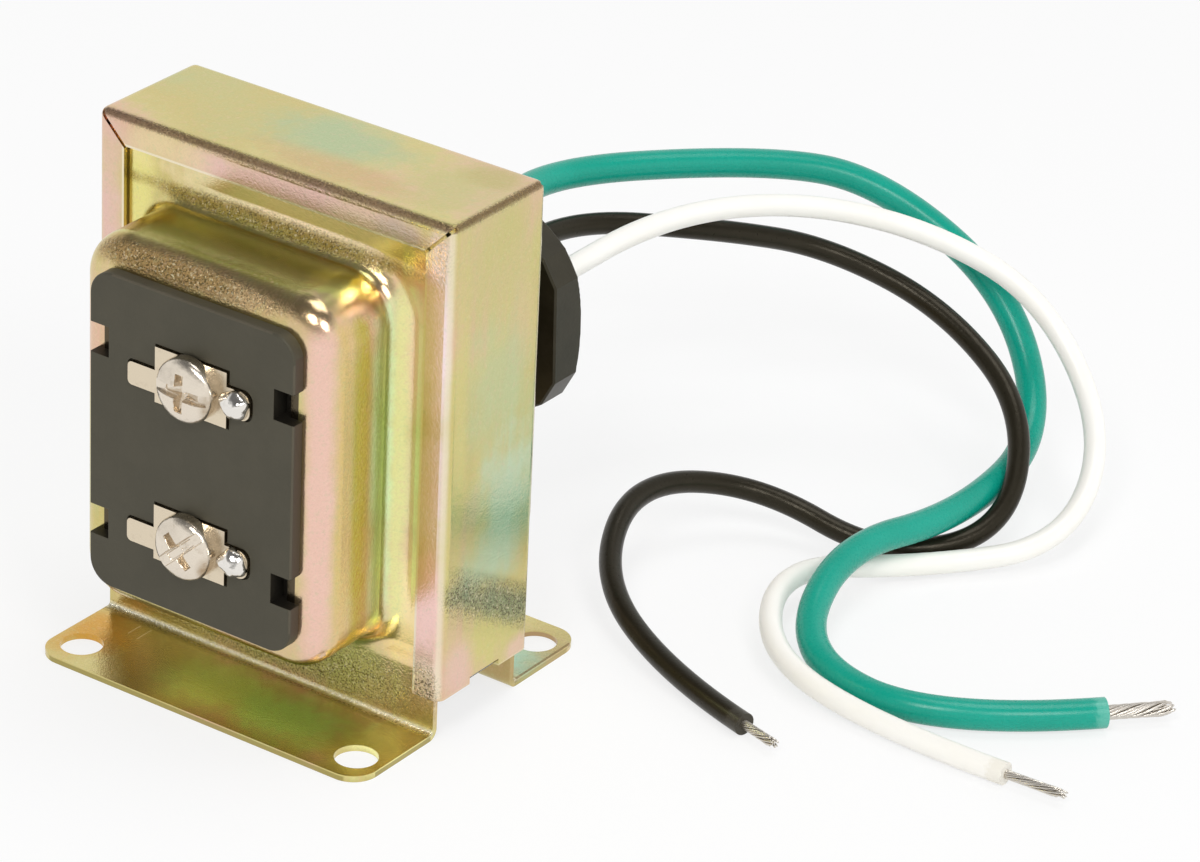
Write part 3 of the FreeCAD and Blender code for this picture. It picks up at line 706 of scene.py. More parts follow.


# Painted highlights and painted seam shadows of the front that the back repeats
LIP_HIGHLIGHTS = (
    Edge((20.84, -8.6, 6.0), (21.0, -8.0, 59.7), 0.20, 0.8, SCRATCH_AND_HIGHLIGHT),
    Edge((-20.9, -8.6, 59.7), (20.9, -8.0, 59.84), 0.18, 0.8, SCRATCH_AND_HIGHLIGHT),
    Edge((-21.0, -8.6, 6.0), (-20.84, -8.0, 59.7), 0.20, 0.8, SCRATCH_AND_HIGHLIGHT),
)
LIP_SEAM_SHADOWS = (
    Edge((20.66, -7.8, 6.0), (20.9, -7.4, 59.6), 0.12, 0.8, PAINTED_SHADE),
    Edge((-20.7, -7.8, 59.50), (20.7, -7.4, 59.8), 0.12, 0.8, PAINTED_SHADE),
    Edge((-20.9, -7.8, 6.0), (-20.66, -7.4, 59.6), 0.12, 0.8, PAINTED_SHADE),
)
FOOT_TIP_RIM = Edge((-24.0, -21.4, 0.0), (24.0, -21.0, 0.55), 0.12, 0.8, OCHRE)
FOOT_RIGHT_RIM = Edge((23.2, -18.0, 0.0), (23.5, -8.0, 0.55), 0.12, 0.8, OCHRE)
FOOT_LEFT_RIM = Edge((-23.5, -18.0, 0.0), (-23.2, -8.0, 0.55), 0.12, 0.8, OCHRE)

BAND_FINISH = Chromate(
    "chromate_band",
    tints=(
        # Top
        Patch((-15.0, 1.0, 63.4), (15.0, 14.0, 5.0), 0.7, (0.62, 0.52, 0.20)),
        Patch((1.0, 2.0, 63.4), (12.0, 8.0, 3.0), 0.85, (0.43, 0.54, 0.31)),
        Patch((7.0, -4.5, 63.4), (16.0, 4.0, 3.0), 0.7, (0.62, 0.42, 0.20)),
        Patch((18.0, 0.0, 63.4), (8.0, 9.0, 3.0), 0.8, (0.58, 0.53, 0.22)),
        # Lips at the front
        Patch((2.0, -8.6, 61.0), (36.0, 1.4, 3.0), 1.0, LIP_ROSE),
        Patch((-15.0, -8.6, 61.2), (8.0, 1.2, 3.0), 0.8, (0.80, 0.65, 0.36)),
        Patch((12.0, -8.6, 60.6), (7.0, 1.2, 2.0), 0.6, (0.82, 0.66, 0.44)),
        Patch((-23.0, -8.6, 34.0), (4.0, 1.6, 46.0), 1.0, LIP_ROSE),
        Patch((22.4, -8.5, 50.0), (4.0, 0.9, 18.0), 0.95, (0.96, 0.79, 0.81)),
        Patch((22.4, -8.5, 32.0), (4.0, 0.9, 14.0), 0.85, (0.89, 0.70, 0.70)),
        Patch((22.4, -8.5, 17.0), (4.0, 0.9, 11.0), 0.95, (0.93, 0.63, 0.59)),
        Patch((22.4, -8.5, 8.0), (4.0, 0.9, 4.0), 0.7, (0.90, 0.76, 0.60)),
        Patch((17.0, -8.6, 60.8), (5.0, 1.2, 2.5), 0.7, (0.58, 0.48, 0.40)),
        # Rear corner of the top
        Patch((20.0, 5.0, 63.4), (6.0, 4.0, 3.0), 0.8, (0.54, 0.46, 0.18)),
        # Right side, from its top down
        Patch((25.0, 0.0, 57.0), (3.0, 12.0, 14.0), 0.8, (0.61, 0.56, 0.23)),
        Patch((25.0, 4.5, 48.0), (3.0, 4.0, 8.0), 0.45, (0.70, 0.53, 0.34)),
        Patch((25.0, 0.0, 41.0), (3.0, 9.0, 12.0), 0.7, (0.54, 0.60, 0.34)),
        Patch((25.0, 3.0, 27.0), (3.0, 8.0, 11.0), 0.8, (0.56, 0.70, 0.52)),
        Patch((25.0, 0.0, 20.5), (3.0, 8.5, 6.0), 0.7, (0.52, 0.68, 0.48)),
        Patch((25.0, -6.4, 34.0), (3.0, 2.2, 34.0), 0.8, (0.68, 0.60, 0.24)),
        Patch((25.0, 1.0, 10.5), (3.0, 9.0, 5.0), 0.9, (0.66, 0.60, 0.22)),
        Patch((25.0, -5.0, 8.5), (3.0, 3.6, 5.0), 0.8, (0.80, 0.54, 0.46)),
        Patch((25.0, 6.2, 6.4), (3.0, 4.0, 2.4), 0.85, (0.80, 0.56, 0.44)),
        # Painted dark reflection band slanting across the side
        *slanted_band((2.0, 3.2, 2.5), 0.42, (0.21, 0.29, 0.18)),
    ),
    edges=(
        # Painted highlights along the lips' inner edges and the bend from the right lip to the side
        *LIP_HIGHLIGHTS,
        Edge((24.0, -8.3, 6.0), (24.2, -8.0, 62.5), 0.35, 0.55, SCRATCH_AND_HIGHLIGHT),
        # Painted dark reflections along the top's right and front bends
        Edge((24.1, -8.2, 62.9), (24.3, 8.2, 63.2), 0.36, 0.9, (0.20, 0.13, 0.06)),
        Edge((-24.0, -8.25, 62.85), (24.2, -7.95, 63.2), 0.40, 0.82, (0.20, 0.12, 0.07)),
        # Painted highlight along the side's lower edge; the back's lips get the same painted highlights
        Edge((24.0, -8.0, 5.4), (25.0, 8.0, 5.6), 0.20, 0.25, SCRATCH_AND_HIGHLIGHT),
        *(edge.mirrored() for edge in LIP_HIGHLIGHTS),
    ),
    grains=(
        Patch((0.0, -8.2, 63.1), (60.0, 1.0, 1.0), 0.8),
        Patch((24.4, 0.0, 63.2), (1.0, 20.0, 1.0), 0.7),
        Patch((22.0, -8.6, 6.5), (5.0, 1.2, 4.0), 1.0),
        Patch((23.0, -8.6, 59.0), (3.0, 1.2, 4.0), 0.25),
        # The same painted reflection band, grained as well
        *slanted_band((2.0, 3.2, 3.6), 1.0),
    ),
)
FRONT_FINISH = Chromate(
    "chromate_front_cover",
    tints=(
        # Plate about the dome
        Patch((-19.5, -7.6, 44.0), (5.0, 2.0, 40.0), 0.95, (0.82, 0.75, 0.27)),
        # Lightened against the shadow of the lip above: painted light
        Patch((2.0, -7.6, 58.8), (24.0, 2.0, 3.4), 0.95, (1.0, 0.78, 0.52)),
        Patch((-8.0, -7.6, 58.6), (8.0, 2.0, 3.0), 0.5, (0.72, 0.66, 0.34)),
        Patch((18.5, -7.6, 57.5), (4.5, 2.0, 4.0), 0.9, (0.94, 0.66, 0.30)),
        # Painted shade along the dome's top root, below the lip
        Patch((-1.0, -8.0, 56.1), (34.0, 2.2, 1.3), 0.85, (0.33, 0.22, 0.03)),
        Patch((19.6, -8.0, 46.0), (3.0, 2.0, 12.0), 0.9, (0.90, 0.62, 0.42)),
        Patch((19.6, -8.0, 31.0), (3.0, 2.0, 12.0), 0.9, (0.78, 0.68, 0.38)),
        Patch((19.6, -8.0, 16.5), (3.0, 2.0, 11.0), 0.95, (1.0, 0.82, 0.44)),
        # Painted shade that dulls a pale reflection of the dome low on the plate's right
        Patch((20.0, -7.7, 4.5), (5.0, 2.0, 5.0), 0.9, (0.60, 0.42, 0.20)),
        # Right wall of the dome, from its root out: painted reflection stripes, with a painted highlight at
        # the root and on the front rounding
        Patch((18.0, -8.4, 33.0), (1.6, 1.8, 50.0), 0.8, (0.80, 0.80, 0.34)),
        Patch((17.2, -10.6, 34.0), (1.2, 2.6, 50.0), 0.95, (0.68, 0.94, 0.52)),
        Patch((17.2, -14.2, 34.0), (1.2, 2.2, 50.0), 0.95, (0.54, 0.47, 0.07)),
        Patch((17.0, -17.0, 32.0), (1.6, 2.0, 50.0), 0.9, (0.74, 0.54, 0.22)),
        Patch((16.2, -19.9, 32.0), (3.0, 2.5, 50.0), 0.95, (0.86, 0.565, 0.475)),
        # Top wall of the dome and its rounding
        Patch((0.0, -13.5, 55.4), (36.0, 6.5, 2.2), 0.95, (0.46, 0.48, 0.13)),
        Patch((1.0, -17.4, 55.3), (15.0, 1.8, 1.6), 0.85, (0.24, 0.22, 0.03)),
        Patch((-14.0, -13.0, 55.2), (5.0, 5.0, 3.0), 0.85, (0.44, 0.29, 0.03)),
        # Painted reflection: bright strip at the right end of the dome's top
        Patch((13.0, -12.5, 55.4), (5.0, 5.0, 2.0), 0.9, (0.98, 0.98, 0.30)),
        Patch((0.0, -19.8, 54.0), (28.0, 3.0, 3.0), 0.9, (0.60, 0.41, 0.22)),
        Patch((-6.0, -20.0, 54.0), (15.0, 3.0, 3.0), 0.85, (0.36, 0.23, 0.08)),
        # Foot and the foot of the plate
        Patch((0.0, -14.5, 0.9), (14.0, 7.0, 1.4), 0.9, (0.74, 0.92, 0.36)),
        Patch((9.0, -15.0, 0.9), (10.0, 7.0, 1.4), 0.85, (0.64, 1.0, 0.44)),
        Patch((21.0, -14.0, 0.9), (6.5, 9.0, 1.4), 0.95, (1.0, 0.96, 0.42)),
        Patch((-12.5, -14.0, 0.9), (6.0, 8.0, 1.4), 0.8, (0.68, 0.54, 0.22)),
        Patch((-20.5, -14.0, 1.2), (6.0, 8.0, 3.0), 0.95, (0.66, 0.35, 0.06)),
        Patch((4.0, -7.6, 5.0), (20.0, 2.0, 6.0), 0.9, (0.52, 0.50, 0.18)),
        Patch((-20.0, -7.6, 8.0), (5.0, 2.0, 12.0), 0.9, (0.78, 0.58, 0.28)),
        Patch((18.5, -8.5, 10.5), (4.0, 4.0, 4.0), 0.8, (0.96, 0.74, 0.30)),
    ),
    edges=(
        # Painted shadows in the seams beside the lips
        *LIP_SEAM_SHADOWS,
        # Painted highlight along the bend from the plate to the foot
        Edge((-23.3, -8.1, 0.85), (23.3, -7.75, 1.15), 0.22, 0.9, (1.0, 0.95, 0.76)),
        FOOT_TIP_RIM,
        FOOT_RIGHT_RIM,
        FOOT_LEFT_RIM,
        Edge((-17.3, -11.6, 0.6), (-17.2, -9.4, 0.9), 0.10, 0.8, SCRATCH_AND_HIGHLIGHT),
        Edge((-15.7, -11.9, 0.6), (-15.6, -9.4, 0.9), 0.10, 0.8, SCRATCH_AND_HIGHLIGHT),
        # Painted shade seen through the windows under the board's notches
        *window_marks(((10.6, 13.5), (-13.3, -10.6)), (-21.0, -18.0), ((40.2, 45.4), (17.8, 23.0)),
                      0.10, 1.0, PAINTED_SHADE),
    ),
    grains=(
        Patch((1.0, -8.0, 56.2), (27.0, 2.2, 1.6), 0.9),
        Patch((-4.0, -20.2, 53.9), (20.0, 2.6, 2.2), 1.0),
        Patch((2.0, -7.6, 4.6), (30.0, 2.0, 5.4), 1.0),
        Patch((0.0, -8.2, 1.1), (60.0, 1.2, 1.0), 0.8),
        Patch((17.2, -14.0, 32.0), (1.4, 6.0, 60.0), 0.07),
        Patch((0.0, -14.5, 0.8), (40.0, 12.0, 1.4), 0.06),
    ),
    draft=0.09,
)
REAR_FINISH = Chromate(
    "chromate_rear_cover",
    tints=(
        # Plate and dome
        Patch((-19.5, 7.6, 40.0), (4.0, 2.0, 26.0), 0.8, LEMON),
        Patch((19.5, 7.6, 40.0), (4.0, 2.0, 26.0), 0.8, (0.86, 0.64, 0.38)),
        Patch((-9.0, 20.6, 18.0), (13.0, 2.0, 14.0), 0.7, ROSE),
        Patch((10.0, 20.6, 48.0), (12.0, 2.0, 14.0), 0.6, SEA),
        Patch((17.0, 16.0, 30.0), (2.4, 4.0, 40.0), 0.7, ROSE),
        Patch((-17.0, 14.0, 30.0), (2.4, 4.0, 40.0), 0.6, (0.60, 0.66, 0.30)),
        Patch((0.0, 14.0, 55.4), (24.0, 6.0, 2.0), 0.8, (0.60, 0.62, 0.22)),
        # Foot
        Patch((0.0, 15.0, 0.9), (14.0, 8.0, 1.4), 0.8, (0.60, 0.68, 0.30)),
        Patch((20.0, 15.0, 0.9), (7.0, 8.0, 1.4), 0.9, (0.58, 0.47, 0.20)),
        Patch((18.5, 11.4, 0.9), (8.0, 6.0, 1.6), 0.95, (0.46, 0.68, 0.50)),
        Patch((20.5, 7.4, 2.6), (7.0, 2.0, 4.2), 0.9, (0.46, 0.33, 0.14)),
        Patch((-20.0, 15.0, 0.9), (7.0, 8.0, 1.4), 0.7, (0.86, 0.64, 0.34)),
    ),
    edges=(
        # Painted shadows in the seams beside the back's lips
        *(seam.mirrored() for seam in LIP_SEAM_SHADOWS),
        # Painted highlight along the bend from the plate to the foot
        Edge((-23.3, 8.0, 0.8), (23.3, 8.2, 1.1), 0.25, 0.6, SCRATCH_AND_HIGHLIGHT),
        FOOT_TIP_RIM.mirrored(),
        replace(FOOT_RIGHT_RIM.mirrored(), weight=0.5),
        Edge((22.95, 8.4, 0.5), (23.15, 18.8, 0.9), 0.14, 0.75, (0.28, 0.18, 0.06)),
        FOOT_LEFT_RIM.mirrored(),
        Edge((16.9, 14.0, 0.0), (22.6, 19.8, 0.5), 0.14, 0.75, (0.40, 0.24, 0.14)),
    ),
    grains=(
        Patch((0.0, 7.6, 57.3), (30.0, 2.0, 2.2), 1.0),
        Patch((0.0, 20.2, 53.9), (26.0, 2.6, 2.2), 1.0),
        Patch((0.0, 7.6, 5.0), (30.0, 2.0, 6.0), 0.8),
        Patch((0.0, 8.2, 1.1), (60.0, 1.2, 1.0), 0.8),
    ),
    draft=-0.09,
)
BOARD_FINISH = Moulded(
    "board_phenolic", (0.042, 0.038, 0.026), (0.060, 0.054, 0.038), 0.50,
    tooth_depth=0.03,
    edges=(
        # Painted highlights along the board's right and top front edges
        Edge((14.0, -22.25, 16.5), (14.2, -22.0, 49.0), 0.10, 0.4, BOARD_EDGE_HIGHLIGHT),
        Edge((-11.0, -22.25, 51.9), (11.0, -22.0, 52.1), 0.10, 0.4, BOARD_EDGE_HIGHLIGHT),
        Edge((13.9, -21.8, 16.0), (14.2, -20.0, 49.5), 0.20, 0.6, (0.050, 0.030, 0.022)),
        *window_marks(((11.3, 14.3), (-14.3, -11.3)), (-22.08, -15.0), ((41.8, 45.6), (19.4, 23.2)),
                      0.03, 0.95, WINDOW_SHADE),
    ),
)
HUB_FINISH = Moulded("hub_nylon", (0.018, 0.015, 0.008), (0.034, 0.029, 0.018), 0.36,
                     tooth=Clouds(2.0, 3.0, 0.65), tooth_depth=0.03, gloss=0.36)
BUSHING_FINISH = Moulded("bushing_rubber", (0.030, 0.030, 0.030), (0.050, 0.048, 0.045), 0.75)
BOBBIN_FINISH = Moulded("bobbin_nylon", (0.72, 0.68, 0.58), (0.80, 0.77, 0.68), 0.5)
NICKEL_FINISH = Plated("nickel", (0.72, 0.62, 0.47), (0.55, 0.45, 0.33), 0.24, wobble_depth=0.06, marks=(
    Patch((4.6, -22.5, 43.2), (1.8, 0.8, 3.4), 0.9, STRAP_STAIN),
    Patch((4.6, -22.5, 23.9), (1.8, 0.8, 3.4), 0.9, STRAP_STAIN),
    Patch((-3.5, -25.0, 40.5), (3.0, 3.0, 3.0), 0.5, STRAP_DULL),
    Patch((-3.5, -25.0, 21.2), (3.0, 3.0, 3.0), 0.5, STRAP_DULL),
))
SCREW_FINISH = Plated("screw_nickel", (0.77, 0.69, 0.58), (0.52, 0.43, 0.33), 0.24, wobble_depth=0.08, marks=(
    Patch((3.6, -23.4, 41.2), (1.4, 1.6, 2.4), 0.9, (0.34, 0.24, 0.13)),
    Patch((3.5, -23.4, 21.4), (1.4, 1.6, 2.4), 1.0, (0.34, 0.22, 0.10)),
    # Painted shade on the upper left of each head
    Patch((-2.0, -24.4, 44.0), (3.0, 2.0, 2.4), 0.5, (0.46, 0.40, 0.33)),
    Patch((-1.6, -24.4, 25.0), (3.0, 2.0, 2.0), 0.5, (0.48, 0.42, 0.34)),
))
SOLDER_FINISH = Plated("solder", (0.80, 0.77, 0.72), (0.60, 0.56, 0.50), 0.12, wobble_depth=0.12)
BRASS_FINISH = Plated("brass_strip", (0.72, 0.53, 0.22), (0.48, 0.33, 0.14), 0.34)
TINNED_FINISH = Plated("tinned_copper", (0.66, 0.62, 0.56), (0.46, 0.40, 0.32), 0.30)
LAMINATION_FINISH = Laminated("lamination_steel")
WIRE_FINISH = Wound("magnet_wire", (0.60, 0.22, 0.08), (0.20, 0.06, 0.02), 0.45, 0.7, 0.3)
TAPE_FINISH = Wound("coil_tape", (0.80, 0.58, 0.12), (0.62, 0.42, 0.08), 9.0, 0.0, 0.35)


class Surface:
    """Points and faces gathered from grids and welded where their edges meet."""

    WELD = 1e-6
    SLIVER = 1e-7

    def __init__(self) -> None:
        """Starts with no points."""
        self.points: List[np.ndarray] = []
        self.faces: List[np.ndarray] = []
        self.count = 0

    def grid(self, points: np.ndarray) -> None:
        """Adds a grid of points as quads.

        Args:
            points: array of rows, columns and three coordinates in metres.
        """
        rows, columns = points.shape[:2]
        index = np.arange(rows * columns).reshape(rows, columns) + self.count
        cells = np.stack([index[:-1, :-1], index[:-1, 1:], index[1:, 1:], index[1:, :-1]], axis=-1)
        self.faces.append(cells.reshape(-1, 4))
        self.points.append(points.reshape(-1, 3))
        self.count += rows * columns

    def piece(self, name: str, material: bpy.types.Material,
              crease: Optional[float] = None) -> bpy.types.Object:
        """Welds the grids into one smooth mesh object at the origin.

        Args:
            name: name of the piece.
            material: its finish.
            crease: angle in degrees past which an edge stays sharp; none if left out.

        Returns:
            The new object.
        """
        mesh = bpy.data.meshes.new(name)
        mesh.from_pydata(np.concatenate(self.points).tolist(), [], np.concatenate(self.faces).tolist())
        work = bmesh.new()
        work.from_mesh(mesh)
        bmesh.ops.remove_doubles(work, verts=work.verts, dist=self.WELD)
        bmesh.ops.dissolve_degenerate(work, edges=work.edges, dist=self.SLIVER)
        bmesh.ops.recalc_face_normals(work, faces=work.faces)
        work.to_mesh(mesh)
        work.free()
        mesh.shade_smooth()
        if crease is not None:
            mesh.set_sharp_from_angle(angle=math.radians(crease))
        mesh.materials.append(material)
        piece = bpy.data.objects.new(name, mesh)
        bpy.context.scene.collection.objects.link(piece)
        return piece


def stand_in(piece: bpy.types.Object, node: str) -> None:
    """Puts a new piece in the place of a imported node.

    Args:
        piece: piece that is shown.
        node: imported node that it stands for.
    """
    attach(piece, ROOT)
    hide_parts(node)


def ring_rows(angles: np.ndarray, reach: np.ndarray, depth: np.ndarray, centre_z: float) -> np.ndarray:
    """Points about an axis along Y: x is reach by cosine, z is reach by sine above the centre, y is depth.

    Args:
        angles: angle of each column.
        reach: distance from the axis, rows by columns.
        depth: place along the axis, one for each row.
        centre_z: height of the axis.

    Returns:
        Rows by columns of points in metres.
    """
    rows = np.outer(depth, np.ones_like(angles))
    return np.stack([reach * np.cos(angles), rows, centre_z + reach * np.sin(angles)], axis=-1) * MM


def centreline_length(curve_piece: bpy.types.Object) -> float:
    """Length of a curve's own line, summed over the points that its spline gives with no bevel.

    Args:
        curve_piece: curve object of one spline.

    Returns:
        The length in metres.
    """
    bare = curve_piece.copy()
    bare.data = curve_piece.data.copy()
    bare.data.bevel_depth = 0.0
    mesh = bpy.data.meshes.new_from_object(bare)
    line = np.empty(len(mesh.vertices) * 3)
    mesh.vertices.foreach_get("co", line)
    steps = np.diff(line.reshape(-1, 3), axis=0)
    bpy.data.meshes.remove(mesh)
    bpy.data.objects.remove(bare)
    return float(np.linalg.norm(steps, axis=1).sum())


class Stiffness(Enum):
    """How a cord bends."""

    LIMP = "limp"
    MEDIUM = "medium"
    STIFF = "stiff"


class Terminal(Enum):
    """The two terminals, with the height of each one's axis."""

    UPPER = 42.15
    LOWER = 22.85

    @property
    def label(self) -> str:
        """Last word of the names of its pieces."""
        return self.name.lower()


@dataclass
class SupplyLead:
    """Insulated lead that leaves the hub and ends in bare twisted strands."""

    name: str
    finish: Sheath
    diameter: float
    route: Tuple[Point, ...]
    strip: float
    strands_across: float
    exit_y: float = 28.0
    stiffness: Stiffness = Stiffness.MEDIUM
    section_steps: int = 8
    line_steps: int = 24
    spline_order: int = 3
    strand_rings: Tuple[Tuple[float, int], ...] = ((0.0, 1), (0.36, 6), (0.72, 12))
    strand_rows: int = 40
    strand_sides: int = 8
    strand_share: float = 0.19
    strand_tuck: float = 0.4
    strand_turns: float = 0.55
    strand_flare: float = 0.10
    strand_ragged: float = 0.10
    strand_phase: Span = (5.0, 9.0)
    strand_tip: float = 0.05

    def points(self) -> np.ndarray:
        """Route in metres, one row to a point."""
        return np.array(self.route) * MM

    def build(self) -> List[bpy.types.Object]:
        """Returns:
            The lead's pieces.
        """
        sheath = self._sheath()
        strands = self._strands()
        stand_in(sheath, self.name)
        stand_in(strands, self.name + "_strands")
        start = self.points()[0]
        centreline_length(sheath)
        return [sheath, strands]

    def _sheath(self) -> bpy.types.Object:
        """Round section along a quadratic B-spline whose control points are the route.

        Returns:
            The insulation, a curve of one open spline.
        """
        curve = bpy.data.curves.new(self.name + "_sheath", "CURVE")
        curve.dimensions = "3D"
        curve.bevel_depth = self.diameter * MM / 2.0
        curve.bevel_resolution = self.section_steps
        curve.use_fill_caps = True
        spline = curve.splines.new("NURBS")
        points = self.points()
        spline.points.add(len(points) - 1)
        spline.points.foreach_set("co", np.column_stack([points, np.ones(len(points))]).ravel())
        spline.order_u = self.spline_order
        spline.use_endpoint_u = True
        spline.resolution_u = self.line_steps
        curve.materials.append(self.finish.material(self.route[-1]))
        piece = bpy.data.objects.new(self.name + "_sheath", curve)
        bpy.context.scene.collection.objects.link(piece)
        return piece

    def _strands(self) -> bpy.types.Object:
        """Rings of helices about the lead's last direction, each a round section carried along its own line.

        A line's turn grows evenly with its way along, its reach grows with the square of it, and its
        length differs by a sine of its number, which leaves the tips uneven.

        Returns:
            All strands as one piece.
        """
        end, before = self.points()[-1], self.points()[-2]
        heading = (end - before) / np.linalg.norm(end - before)
        side = np.cross(heading, (0.0, 0.0, 1.0))
        side /= np.linalg.norm(side)
        up = np.cross(side, heading)
        radius = self.strands_across * MM / 2.0
        along = np.linspace(-self.strand_tuck * MM, self.strip * MM, self.strand_rows)
        share_along = along / along[-1]
        about = np.linspace(0.0, FULL_TURN, self.strand_sides + 1)
        section = (np.outer(np.cos(about), side) + np.outer(np.sin(about), up)) * radius * self.strand_share
        taper = np.ones_like(along)
        taper[-1] = self.strand_tip
        surface = Surface()
        for ring, count in self.strand_rings:
            reach = ring * radius * (1.0 + self.strand_flare * share_along ** 2)
            for k in range(count):
                turn = FULL_TURN * (k / count + share_along * self.strand_turns)
                swing = math.sin(self.strand_phase[0] * k + self.strand_phase[1] * ring)
                uneven = 1.0 - self.strand_ragged * swing
                line = (end + np.outer(along * uneven, heading) + np.outer(reach * np.cos(turn), side)
                        + np.outer(reach * np.sin(turn), up))
                surface.grid(line[:, None, :] + section[None, :, :] * taper[:, None, None])
        return surface.piece(self.name + "_twist", TINNED_FINISH.material())


LEADS = (
    SupplyLead(
        "black_lead",
        Sheath("black_insulation", (0.012, 0.010, 0.006), (0.020, 0.017, 0.011), (0.06, 0.055, 0.045), 0.30,
               grain_depth=0.06, gloss=0.30, gloss_tint=(1.0, 0.90, 0.70)),
        diameter=2.7,
        route=((-3.2, 19.025, 32.3), (-3.2, 37.0, 32.3), (-6.5, 55.5, 32.6), (7.5, 71.0, 29.8),
               (15.5, 82.0, 26.0), (30.5, 85.5, 21.1), (45.5, 81.0, 13.9), (50.0, 70.5, 3.2),
               (40.5, 58.5, 1.4), (23.0, 57.0, 6.1), (15.0, 42.5, 9.7), (20.5, 28.0, 4.8),
               (36.0, 19.5, 1.4), (49.5, 15.5, 1.4)),
        strip=5.0,
        strands_across=1.2,
    ),
    SupplyLead(
        "white_lead",
        Sheath("white_insulation", (0.93, 0.915, 0.87), (0.92, 0.895, 0.83), (0.80, 0.76, 0.66), 0.34),
        diameter=2.7,
        route=((3.4, 19.025, 33.1), (3.4, 38.5, 33.1), (6.5, 58.0, 35.9), (14.5, 75.0, 34.5),
               (27.0, 86.5, 30.2), (40.0, 93.0, 22.7), (53.0, 88.0, 10.0), (57.0, 72.0, 3.0),
               (45.0, 59.5, 1.4), (35.5, 43.5, 5.0), (43.5, 28.0, 3.2), (61.0, 24.5, 1.4),
               (78.0, 25.0, 1.4)),
        strip=7.0,
        strands_across=1.2,
    ),
    SupplyLead(
        "green_lead",
        Sheath("green_insulation", (0.002, 0.32, 0.23), (0.004, 0.365, 0.27), (0.16, 0.52, 0.42), 0.28,
               gloss=0.35),
        diameter=3.6,
        route=((-1.0, 19.025, 38.1), (-1.0, 36.0, 38.1), (-12.2, 55.4, 36.9), (5.9, 80.8, 35.4),
               (17.0, 90.5, 32.5), (33.6, 95.5, 20.9), (44.5, 87.5, 7.6), (45.5, 67.0, 5.3),
               (40.5, 47.5, 7.3), (46.0, 31.0, 2.0), (66.5, 28.0, 2.0), (80.0, 43.0, 1.9)),
        strip=7.5,
        strands_across=1.9,
    ),
)


